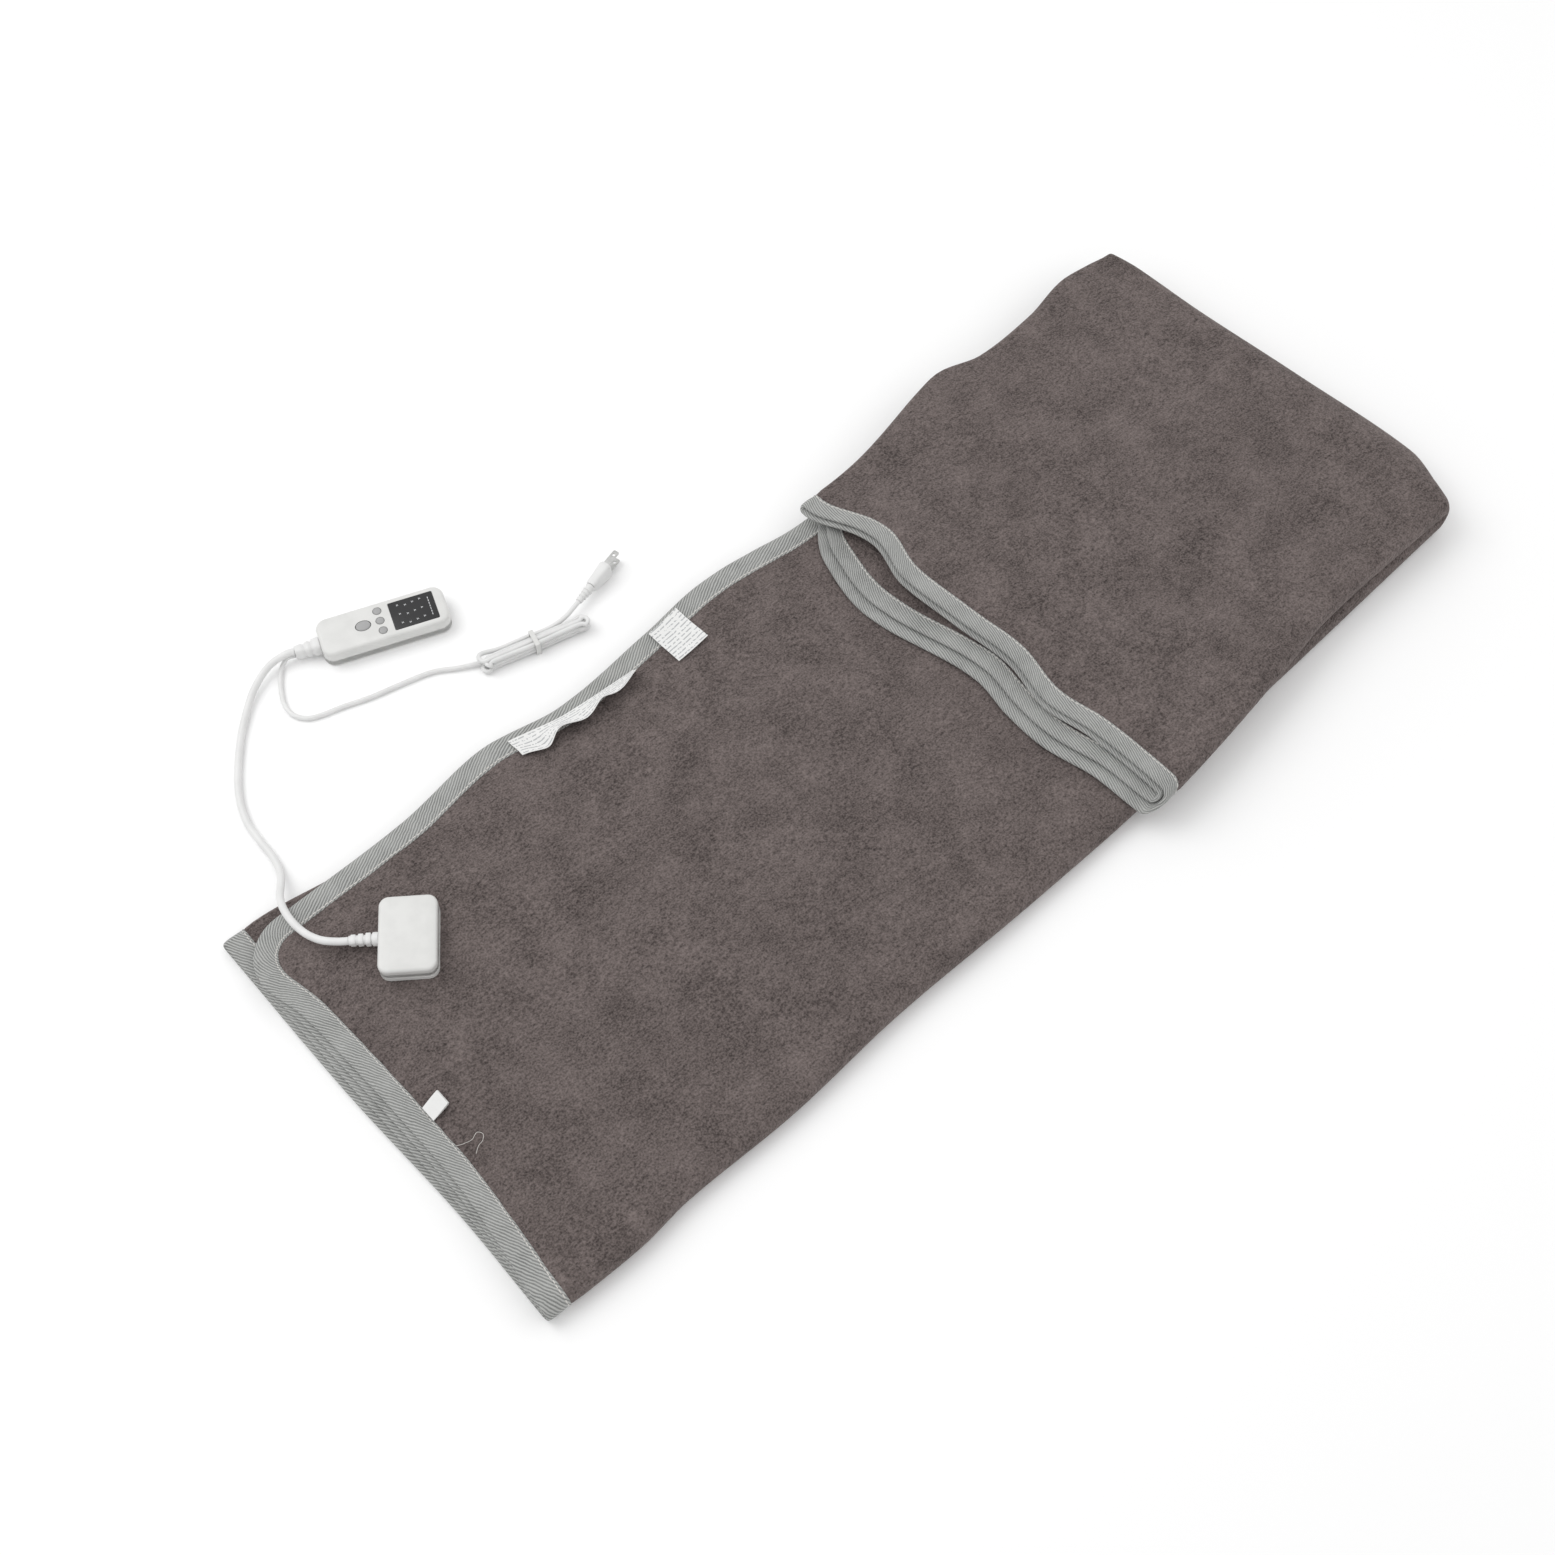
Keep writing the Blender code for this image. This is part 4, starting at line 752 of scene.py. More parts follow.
def centre_of(node: str) -> Vector:
    """The middle of a CAD node's box."""
    low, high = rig.box(node)
    return (low + high) / 2


# --- Folding the cloth --------------------------------------------------------------------------------
class Portion(Enum):
    """The parts of the blanket's length."""

    STACK = "stack"
    BEND = "bend"
    FLAP = "flap"


@dataclass(frozen=True)
class Leg:
    """One stretch of the folded section: a flat run, or a half-round turn when it has a radius."""

    length: float
    y: float
    z: float
    heading: int
    facing: int
    radius: float = 0.0
    outward: int = 1

    def place(self, along: float, lift: float) -> Pair:
        """The (y, z) of a point so far along the leg and so far off the cloth's middle."""
        if not self.radius:
            return self.y + self.heading * along, self.z + self.facing * lift
        reach = self.radius + self.outward * lift
        angle = along / self.radius
        return self.y + self.heading * reach * math.sin(angle), self.z + self.facing * reach * math.cos(angle)


@dataclass
class FoldPlan:
    """The flat cloth, its folds and the soft shape it has settled into."""

    panel: float = 0.0054
    gap: float = 0.0004
    setback: float = 0.014
    flap_length: float = 0.436
    flap_reach: float = 0.034
    corner: float = 0.048
    seam: float = 0.00015
    ripple: float = 0.0014
    swell: float = 0.0022
    dent: float = 0.0040
    lift: float = 0.0065
    retreat: float = 0.0080
    flap_tape: float = 0.78
    free_edge: Contour = Contour((
        (0.00, 0.000), (0.05, -0.002), (0.187, -0.003), (0.287, 0.007), (0.368, -0.008), (0.472, -0.002),
        (0.554, 0.005), (0.679, -0.007), (0.85, 0.0), (1.10, -0.001), (1.128, -0.005), (1.156, -0.001),
        (1.40, -0.006), (1.60, -0.010),
    ))
    fold_edge: Contour = Contour((
        (0.00, 0.003), (0.05, 0.000), (0.12, -0.013), (0.187, -0.019), (0.287, -0.009), (0.368, -0.024),
        (0.472, -0.018), (0.554, -0.011), (0.679, -0.022), (0.80, -0.012), (0.95, -0.002), (1.10, -0.001),
        (1.128, -0.005), (1.156, 0.000), (1.191, 0.004), (1.247, -0.006), (1.322, -0.008), (1.365, 0.005),
        (1.397, 0.002), (1.501, -0.018),
        (1.60, -0.016),
    ))
    right_edge: Contour = Contour((
        (0.00, 0.013), (0.09, 0.008), (0.146, 0.011), (0.26, 0.006),
        (0.385, 0.009), (0.53, 0.004), (0.681, 0.002),
        (0.90, 0.005), (1.128, 0.010), (1.293, 0.011), (1.38, 0.000),
        (1.460, -0.009), (1.542, -0.015), (1.60, -0.017),
    ))
    near_top: Contour = Contour((
        (-0.23, -0.003), (-0.10, 0.013), (-0.025, 0.015), (0.06, 0.014),
        (0.125, 0.011), (0.165, 0.003), (0.22, 0.004),
    ))
    near_bottom: Contour = Contour(((-0.23, -0.003), (-0.10, 0.001), (0.05, -0.002), (0.22, 0.001)))
    hem_upper: Contour = Contour((
        (-0.236, 0.004), (-0.191, 0.005), (-0.14, 0.003), (-0.097, -0.005), (-0.048, 0.005), (0.017, -0.001),
        (0.083, -0.007), (0.143, 0.005), (0.215, -0.015),
    ))
    hem_lower: Contour = Contour((
        (-0.238, 0.022), (-0.217, 0.015), (-0.167, 0.012), (-0.117, 0.001), (-0.078, 0.002), (-0.036, 0.008),
        (0.014, 0.0), (0.069, -0.013), (0.113, -0.014), (0.157, -0.004), (0.192, 0.008), (0.22, 0.012),
    ))
    far_end: Contour = Contour((
        (-0.229, -0.014), (-0.20, 0.001), (-0.156, 0.016), (-0.011, 0.008), (0.11, -0.003), (0.195, -0.007),
        (0.214, -0.011), (0.229, -0.018),
    ))
    hinge: Vector = field(init=False)
    hem_x: float = field(init=False)
    stack_length: float = field(init=False)
    legs: tuple[Leg, ...] = field(init=False)
    width: float = field(init=False)
    still: tuple[tuple[Vector, float], ...] = field(init=False)

    def __post_init__(self) -> None:
        """Read the frame and work out the folded section."""
        fold = next(joint for joint in frame["joints"] if joint["name"] == "flap_fold")
        self.hinge = Vector(fold["pos_m"])
        self.hem_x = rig.box("binding_stack")[0].x
        self.stack_length = self.hinge.x - self.hem_x
        low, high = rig.box("face_sheet_stack")
        pitch = self.panel + self.gap
        heights = {layer: self.panel / 2 + (4 - layer) * pitch for layer in (1, 2, 3, 4)}
        outer, inner = 1.5 * pitch, 0.5 * pitch
        right = low.y + outer + self.panel / 2
        left = high.y - inner - self.panel / 2
        edge = high.y - self.setback
        middle = (heights[1] + heights[4]) / 2
        lower = (heights[3] + heights[4]) / 2
        self.legs = (
            Leg(edge - right, edge, heights[1], -1, 1),
            Leg(math.pi * outer, right, middle, -1, 1, outer),
            Leg(left - right, right, heights[4], 1, -1),
            Leg(math.pi * inner, left, lower, 1, -1, inner),
            Leg(left - right, left, heights[3], -1, 1),
            Leg(math.pi * inner, right, middle, -1, -1, inner, -1),
            Leg(edge - right, right, heights[2], 1, -1),
        )
        self.width = sum(leg.length for leg in self.legs)
        self.still = ((centre_of("plug_upper_shell"), 0.055), (centre_of("socket_base"), 0.050))

    def section(self, across: float, lift: float) -> Pair:
        """The (y, z) of a point of the flat width in the folded section."""
        for leg in self.legs[:-1]:
            if across <= leg.length:
                return leg.place(across, lift)
            across -= leg.length
        return self.legs[-1].place(across, lift)

    def level(self, across: float) -> float:
        """How high a point of the width lies in the stack, from 0 at the bottom layer to 1 at the top."""
        low, high = self.legs[2].z, self.legs[0].z
        return (self.section(across, 0.0)[1] - low) / (high - low)

    def place(self, portion: Portion, across: float, along: float, lift: float) -> Vector:
        """Carry a point of the flat cloth into the folded blanket.

        Args:
            portion: The part of the blanket's length.
            across: Metres from the first free edge.
            along: Metres from that portion's hem, or the angle in the bend.
            lift: Metres off the cloth's middle, towards its face.

        Returns:
            The point in the row frame.
        """
        y, z = self.section(across, lift)
        level = self.level(across)
        if portion is Portion.STACK:
            along = min(along, self.stack_length - self.seam)
            spot, run = Vector((self.hem_x + along, y, z)), along
        elif portion is Portion.BEND:
            drop = self.hinge.z - z
            reach = drop + self.far_end.at(y) * (1 - level)
            spot = Vector((self.hinge.x + reach * math.sin(along), y, self.hinge.z - drop * math.cos(along)))
            run = self.stack_length
        else:
            along = min(along, self.flap_length - self.seam)
            back = (self.flap_length - along) * (1 + self.flap_reach / self.flap_length * level)
            spot = Vector((self.hinge.x - back, y, 2 * self.hinge.z - z))
            run = self.stack_length + self.flap_length - along
        return spot + self._settle(portion, spot, level, run)

    def _settle(self, portion: Portion, spot: Vector, level: float, run: float) -> Vector:
        """How far the settled cloth lies from the square fold at a point."""
        pair = ease(3 * level - 1)
        left = mixed(self.fold_edge.at(run), self.free_edge.at(run), pair)
        side = left * ease((spot.y - 0.02) / 0.19) + self.right_edge.at(run) * ease((-spot.y - 0.02) / 0.19)
        shift = rise = 0.0
        flat = 1 - ease((spot.x - self.hinge.x + 0.09) / 0.08)
        top = self._swell(spot.x, spot.y)
        if portion is Portion.STACK:
            near = 1 - ease(run / 0.075)
            shift += near * mixed(self.near_bottom.at(spot.y), self.near_top.at(spot.y), level)
            rise = level * top
        elif portion is Portion.FLAP:
            out = self.stack_length + self.flap_length - run
            front = 1 - ease(out / 0.15)
            shift += front * mixed(self.hem_upper.at(spot.y), self.hem_lower.at(spot.y), pair)
            shift += front * self.retreat * min(3 * level, 1.0) * (1 - pair)
            open_side = ease((spot.y + 0.02) / 0.10) * (1 - ease((spot.y - 0.16) / 0.05))
            rise = top * pair + (1 - pair) * (self.lift * front * open_side + top * 0.3)
            rise += (1 - level) * self._waves(spot.x + 3.0, spot.y, 7.0) * self.swell * 0.7
        return Vector((shift, side, rise * flat))

    def _swell(self, x: float, y: float) -> float:
        """The rise of the stack's top: broad swells, small ripples, the dent under the turned-back end."""
        calm = 1.0
        for centre, reach in self.still:
            calm *= ease((math.hypot(x - centre.x, y - centre.y) - reach) / 0.05)
        rim = ease((x - self.hem_x) / 0.05)
        broad = self._waves(x, y, 6.0) * self.swell
        fine = self._waves(x + 7.0, y, 26.0) * self.ripple * ease((x + 0.35) / 0.2)
        lean = ease((x - 0.02) / 0.08) * (1 - ease((x - 0.22) / 0.12)) * ease((y + 0.06) / 0.12)
        return (broad + fine - 0.0006) * calm * rim - self.dent * lean

    @staticmethod
    def _waves(x: float, y: float, scale: float) -> float:
        """Smooth waves from -1 to 1."""
        return noise.noise(Vector((x * scale, y * scale * 1.3, 0.37)))

    def tape_share(self, portion: Portion, along: float) -> float:
        """How wide the edge tape is at a place, as a share of its width at the fold."""
        if portion is not Portion.FLAP:
            return 1.0
        return mixed(1.0, self.flap_tape, ease((self.flap_length - along) / 0.2))

    def columns(self, step: float) -> list[float]:
        """Places across the width for a grid: even on the flats, close in the turns."""
        found, start = [0.0], 0.0
        for leg in self.legs:
            count = 12 if leg.radius else round(leg.length / step)
            found += [start + leg.length * (number + 1) / count for number in range(count)]
            start += leg.length
        return found


@dataclass
class Blanket:
    """The fleece sheets, edge tape, stitching and heating wire."""

    plan: FoldPlan
    step: float = 0.008
    margin: float = 0.0012
    field_half: float = 0.0027
    edge_half: float = 0.0012
    tape_width: float = 0.022
    tape_wall: float = 0.0007
    stitch_length: float = 0.0039
    stitch_pitch: float = 0.0044
    stitch_inset: float = 0.0022
    edge_step: float = 0.006
    arc_steps: int = 12
    pad_start: float = 0.019
    pad_run: float = 0.010
    bend_steps: int = 14
    wire_radius: float = 0.0006
    wire_step: float = 0.04
    wire_start: float = 0.160
    stack_runs: int = 15
    flap_runs: int = 16

    def build(self) -> list[Piece]:
        """Make every cloth piece.

        Returns:
            The pieces, the two main sheets first.
        """
        stack = self._sheet("stack_cloth", Portion.STACK, self.plan.stack_length)
        flap = self._sheet("flap_cloth", Portion.FLAP, self.plan.flap_length)
        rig.replaces(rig.ride(stack, BLANKET), "face_sheet_stack", "back_sheet_stack")
        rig.replaces(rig.ride(flap, FLAP), "face_sheet_flap", "back_sheet_flap")
        strips = self._bend_sheets() + self._bend_tapes()
        hems: dict[Portion, list[Piece]] = {}
        for portion, length, body in (
            (Portion.STACK, self.plan.stack_length, BLANKET), (Portion.FLAP, self.plan.flap_length, FLAP)
        ):
            path = self._edge_path(length)
            tape = self._tape(f"{portion.value}_edge_tape", portion, path)
            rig.replaces(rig.ride(tape, body), f"binding_{portion.value}")
            hems[portion] = [tape, self._stitches(f"{portion.value}_stitching", portion, path, body)]
        self._wires()
        size = (self.plan.width, self.plan.stack_length)
        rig.sheet(stack, flat=size, held="folded", rests_on=[], with_pieces=hems[Portion.STACK] + strips)
        size = (self.plan.width, self.plan.flap_length + self.plan.flap_reach / 2)
        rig.sheet(flap, flat=size, held="folded", rests_on=[stack], with_pieces=hems[Portion.FLAP])
        return [stack, flap, *strips, *hems[Portion.STACK], *hems[Portion.FLAP]]

    def _sheet(self, name: str, portion: Portion, length: float) -> Piece:
        """One padded sheet with the rounded corners of its hem end."""
        rows = [self.margin + (length - self.margin) * number / round(length / self.step)
                for number in range(round(length / self.step) + 1)]
        return self._padded_grid(name, portion, self.plan.columns(self.step), rows)

    def _padded_grid(self, name: str, portion: Portion, columns: list[float], rows: list[float]) -> Piece:
        """A two-sided sheet over a grid of flat places, thin under the tape and full in the field."""
        shape = unit_grid(len(columns) - 1, len(rows) - 1)
        upper = bmesh.ops.extrude_face_region(shape, geom=shape.faces[:])["geom"]
        top = {item for item in upper if isinstance(item, bmesh.types.BMVert)}
        for vert in shape.verts:
            across = columns[round((vert.co.x + 0.5) * (len(columns) - 1))]
            along = rows[round((vert.co.y + 0.5) * (len(rows) - 1))]
            depth = along if portion is not Portion.BEND else self.plan.corner
            across = self._within(across, depth)
            inside = self._edge_distance(across, depth) / self.plan.tape_share(portion, along)
            half = mixed(self.edge_half, self.field_half, ease((inside - self.pad_start) / self.pad_run))
            vert.co = self.plan.place(portion, across, along, half if vert in top else -half)
        return finished(name, shape, Finish.FLEECE, None, SOFT_EDGE)

    def _within(self, across: float, along: float) -> float:
        """Draw a place across the width in, where the hem's corners are rounded."""
        radius, width = self.plan.corner, self.plan.width
        lost = self.margin
        if along < radius:
            lost += radius - math.sqrt(max(radius**2 - (radius - along) ** 2, 0.0))
        near = min(across, width - across)
        if near < 3 * radius:
            near = lost + near * (3 * radius - lost) / (3 * radius)
        return near if across < width / 2 else width - near

    def _edge_distance(self, across: float, along: float) -> float:
        """How far a flat place lies inside the cut edge."""
        near = min(across, self.plan.width - across)
        radius = self.plan.corner
        if near < radius and along < radius:
            return radius - math.hypot(radius - near, radius - along)
        return min(near, along) if along < radius else near

    def _edge_path(self, length: float) -> list[tuple[float, float, float, float]]:
        """The cut edge round the hem, as (across, along, inward across, inward along)."""
        width, radius = self.plan.width, self.plan.corner
        count = round((length - radius) / self.edge_step)
        side = [(0.0, length - (length - radius) * number / count, 1.0, 0.0) for number in range(count)]
        arc = []
        for number in range(self.arc_steps + 1):
            angle = math.pi / 2 * number / self.arc_steps
            over, into = math.cos(angle), math.sin(angle)
            arc.append((radius * (1 - over), radius * (1 - into), over, into))
        places = self.plan.columns(self.edge_step)
        hem = [(across, 0.0, 0.0, 1.0) for across in places if radius < across < width - radius]
        first = side + arc
        return first + hem + [(width - s, t, -ns, nt) for s, t, ns, nt in reversed(first)]

    def _tape_profile(self) -> list[Pair]:
        """The tape's closed section as (inset, lift): out along the face, round the edge, back inside."""
        deep, wall = self.tape_width, self.tape_wall
        face = [(deep, 0.00205), (deep - 0.0006, 0.00245), (deep - 0.0022, 0.00195), (deep - 0.0045, 0.00235)]
        face += [(0.012, 0.00262), (0.007, 0.00255), (0.0030, 0.00225), (0.0010, 0.00160), (0.0, 0.00055)]
        outer = face + [(inset, -lift) for inset, lift in reversed(face)]
        inner = [
            (max(inset, wall) + (0.0 if inset > wall else wall * 0.3), max(lift - wall, 0.0004))
            for inset, lift in face
        ]
        inner[0] = (deep, inner[0][1])
        back = [(inset, -lift) for inset, lift in inner] + list(reversed(inner))
        return outer + back

    def _tape(self, name: str, portion: Portion, path: Sequence[tuple]) -> Piece:
        """The folded tape swept along an edge path."""
        profile = self._tape_profile()
        ring = profile + profile[:1]
        girth, length = travelled(flat_steps(ring)), travelled(flat_steps(path))
        shape = unit_grid(len(path) - 1, len(ring) - 1)
        layer = shape.loops.layers.uv.new("tape")
        for face in shape.faces:
            for loop in face.loops:
                step = round((loop.vert.co.x + 0.5) * (len(path) - 1))
                turn = round((loop.vert.co.y + 0.5) * (len(ring) - 1))
                loop[layer].uv = (length[step], girth[turn])
        for vert in shape.verts:
            step = round((vert.co.x + 0.5) * (len(path) - 1))
            inset, lift = ring[round((vert.co.y + 0.5) * (len(ring) - 1))]
            across, along, over, into = path[step]
            inset *= self.plan.tape_share(portion, along)
            pucker = noise.noise(Vector((length[step] * 70, inset * 150, 1.7 + (lift > 0))))
            inset += 0.0007 * pucker * (inset > 0.018)
            lift += 0.00028 * pucker * (1 if lift > 0 else -1) * (0.004 < inset)
            vert.co = self.plan.place(portion, across + over * inset, along + into * inset, lift)
        close(shape, 1e-7)
        return finished(name, shape, Finish.TWILL, None, SOFT_EDGE)

    def _stitches(self, name: str, portion: Portion, path: Sequence[tuple], body: str) -> Piece:
        """A row of thread stitches along the tape's inner edge, on the face and on the back."""
        length = travelled(flat_steps(path))
        shape = bmesh.new()
        inset = self.tape_width - self.stitch_inset
        centre = self.stitch_pitch
        while centre < length[-1] - self.stitch_pitch:
            for side in (1, -1):
                fresh = bmesh.ops.create_cube(shape, size=1.0)["verts"]
                for vert in fresh:
                    outer = vert.co.z * side > 0
                    slim = 0.0009 if outer else 0.0010
                    far = centre + vert.co.x * self.stitch_length * (0.7 if outer else 1.0)
                    across, along, over, into = self._on_path(path, length, far)
                    away = inset * self.plan.tape_share(portion, along) + vert.co.y * slim
                    away += 0.0003 * math.sin(centre * 900)
                    lift = side * (0.00195 + (0.00042 if outer else -0.0003))
                    vert.co = self.plan.place(portion, across + over * away, along + into * away, lift)
            centre += self.stitch_pitch
        return finished(name, shape, Finish.THREAD, body, 80.0)

    @staticmethod
    def _on_path(path: Sequence[tuple], length: Sequence[float], far: float) -> tuple:
        """The path's place and inward direction at a distance along it."""
        right = min(max(bisect.bisect_right(length, far), 1), len(path) - 1)
        share = (far - length[right - 1]) / max(length[right] - length[right - 1], 1e-9)
        return tuple(mixed(a, b, share) for a, b in zip(path[right - 1], path[right]))

    def _bend_sheets(self) -> list[Piece]:
        """The cloth that rounds the far fold, in strips that each turn at their own height."""
        columns = self.plan.columns(self.step)
        angles = self._bend_angles()
        cuts, start = [0.0], 0.0
        for leg in self.plan.legs:
            parts = 1 if not leg.radius else 4 if leg.outward > 0 and leg.radius > self.plan.panel else 2
            cuts += [start + leg.length * (number + 1) / parts for number in range(parts)]
            start += leg.length
        strips = []
        for number, (low, high) in enumerate(zip(cuts, cuts[1:]), 1):
            inside = [low] + [place for place in columns if low + 1e-5 < place < high - 1e-5] + [high]
            strip = self._padded_grid(f"bend_cloth_{number:02d}", Portion.BEND, inside, angles)
            strips.append(self._blend(strip, low, high, self.field_half))
            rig.replaces(strip, "face_sheet_bend", "back_sheet_bend")
        return strips

    def _bend_angles(self) -> list[float]:
        """The angles of the rows that round the far fold."""
        return [math.pi * number / self.bend_steps for number in range(self.bend_steps + 1)]

    def _bend_tapes(self) -> list[Piece]:
        """The tape on both free edges where it rounds the far fold."""
        tapes = []
        for name, edge, over in (("a", 0.0, 1.0), ("b", self.plan.width, -1.0)):
            path = [(edge, angle, over, 0.0) for angle in self._bend_angles()]
            tape = self._tape(f"bend_edge_tape_{name}", Portion.BEND, path)
            low, high = sorted((edge, edge + over * self.tape_width))
            tapes.append(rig.replaces(self._blend(tape, low, high, self.field_half), f"binding_bend_{name}"))
        return tapes

    def _blend(self, strip: Piece, low: float, high: float, half: float) -> Piece:
        """Let a strip turn about the fold between the heights of its own two ends."""
        places = [mixed(low, high, share) for share in (0.02, 0.5, 0.98)]
        heights = [self.plan.section(place, lift)[1] for place in places for lift in (-half, half)]
        drop = max(self.plan.hinge.z - max(heights), 0.0001)
        middle = self.plan.hinge
        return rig.blend(
            strip, BLANKET, FLAP, start=(middle.x, 0, middle.z - drop), end=(middle.x, 0, middle.z + drop)
        )

    def _wires(self) -> None:
        """The heating wire between the sheets: one loop over the stack and the turned-back end."""
        plan, edge, end, seam = self.plan, 0.060, 0.036, 0.0003
        near, far, last = end, plan.stack_length - end, plan.width - edge
        centre = centre_of("socket_back_plate")
        middle = (plan.legs[0].y - centre.y, centre.x - plan.hem_x)
        rim = (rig.box("socket_back_plate")[1].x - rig.box("socket_back_plate")[0].x) / 2
        start = middle[1] - rim - seam
        lead = [(middle[0], start), (middle[0] + 0.003, start - 0.02), (middle[0] + 0.018, start - 0.036)]
        lead += [(middle[0] + 0.040, start - 0.038), (0.156, start - 0.020)]
        pitch = (last - self.wire_start) / (self.stack_runs - 1)
        across = [self.wire_start + pitch * number for number in range(self.stack_runs)]
        route = lead + serpentine(across, near, far, start + 0.010, plan.stack_length - seam)
        self._wire("heating_wire_stack_run", Portion.STACK, route, BLANKET, "heating_wire_stack")
        pitch = (plan.width - 2 * edge) / (self.flap_runs - 1)
        across = [edge + pitch * number for number in range(self.flap_runs)]
        ends = plan.flap_length - seam
        route = serpentine(across, near, plan.flap_length - end, ends, ends)
        self._wire("heating_wire_flap_run", Portion.FLAP, route, FLAP, "heating_wire_flap")
        meet = middle[1] + rim + seam
        route = [(edge, plan.stack_length - seam), (edge, meet + 0.060), (edge + 0.004, meet + 0.040)]
        route += [(middle[0] - 0.016, meet + 0.022), (middle[0] - 0.002, meet + 0.008), (middle[0], meet)]
        self._wire("heating_wire_return_run", Portion.STACK, route, BLANKET, "heating_wire_return")
        for name, place in (("a", edge), ("b", last)):
            route = [(place, angle) for angle in self._bend_angles()]
            node = f"heating_wire_bend_{name}"
            wire = self._wire(f"{node}_run", Portion.BEND, route, None, node)
            self._blend(wire, place - 0.001, place + 0.001, self.wire_radius)

    def _wire(self, name: str, portion: Portion, route: list, body: str | None, node: str) -> Piece:
        """One length of wire along a flat route."""
        turns = self.plan.columns(0.02)
        flat = [route[0]]
        for first, second in zip(route, route[1:]):
            low, high = sorted((first[0], second[0]))
            crossed = [place for place in turns if low + 1e-6 < place < high - 1e-6]
            for place in sorted(crossed, reverse=second[0] < first[0]):
                flat.append((place, mixed(first[1], second[1], (place - first[0]) / (second[0] - first[0]))))
            pieces = round(abs(second[1] - first[1]) / self.wire_step)
            if portion is not Portion.BEND and high - low < 1e-6:
                flat += [(first[0], mixed(first[1], second[1], part / pieces)) for part in range(1, pieces)]
            flat.append(second)
        points = [self.plan.place(portion, across, along, 0.0) for across, along in flat]
        wire = tube(name, points, self.wire_radius, Finish.WIRE, sides=2)
        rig.replaces(wire, node)
        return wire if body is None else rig.ride(wire, body)


def serpentine(
    places: Sequence[float], near: float, far: float, first_end: float, last_end: float
) -> list[Pair]:
    """A flat route up and down the runs with round turns between them."""
    half = (places[1] - places[0]) / 2
    route = [(places[0], first_end)]
    heading = 1 if first_end < (near + far) / 2 else -1
    for start in places[:-1]:
        level = far - half if heading > 0 else near + half
        for step in range(5):
            angle = math.pi * step / 4
            route.append((start + half * (1 - math.cos(angle)), level + heading * half * math.sin(angle)))
        heading = -heading
    return route + [(places[-1], last_end)]


def tube(name: str, points: Sequence[Vector], radius: float, finish: Finish, sides: int = 4) -> Piece:
    """A closed round tube along points, as a mesh that rides on nothing yet."""
    helper = bpy.data.objects.new(f"{name}_line", line_of(name, points, radius, sides))
    mesh = bpy.data.meshes.new_from_object(helper)
    bpy.data.objects.remove(helper)
    shape = bmesh.new()
    shape.from_mesh(mesh)
    bpy.data.meshes.remove(mesh)
    bmesh.ops.remove_doubles(shape, verts=shape.verts, dist=1e-7)
    return finished(name, shape, finish, None, 50.0)


def smooth_route(points: Sequence[Point], spacing: float) -> list[Vector]:
    """Evenly spaced points of a smooth curve through given ones."""
    knots = [Vector(point) for point in points]
    knots = [2 * knots[0] - knots[1], *knots, 2 * knots[-1] - knots[-2]]
    fine = []
    for before, start, end, after in zip(knots, knots[1:], knots[2:], knots[3:]):
        for step in range(SPLINE_STEPS):
            t = step / SPLINE_STEPS
            swing = (2 * before - 5 * start + 4 * end - after) * t * t
            swing += (3 * start - before - 3 * end + after) * t**3
            fine.append(start + ((end - before) * t + swing) / 2)
    fine.append(knots[-2])
    passed = travelled((second - first).length for first, second in zip(fine, fine[1:]))
    count = max(2, round(passed[-1] / spacing))
    result = []
    for number in range(count + 1):
        far = passed[-1] * number / count
        right = min(max(bisect.bisect_left(passed, far), 1), len(fine) - 1)
        share = (far - passed[right - 1]) / max(passed[right] - passed[right - 1], 1e-12)
        result.append(fine[right - 1].lerp(fine[right], share))
    return result


def length_of(points: Sequence[Vector]) -> float:
    """The length of a line of points."""
    return sum((second - first).length for first, second in zip(points, points[1:]))


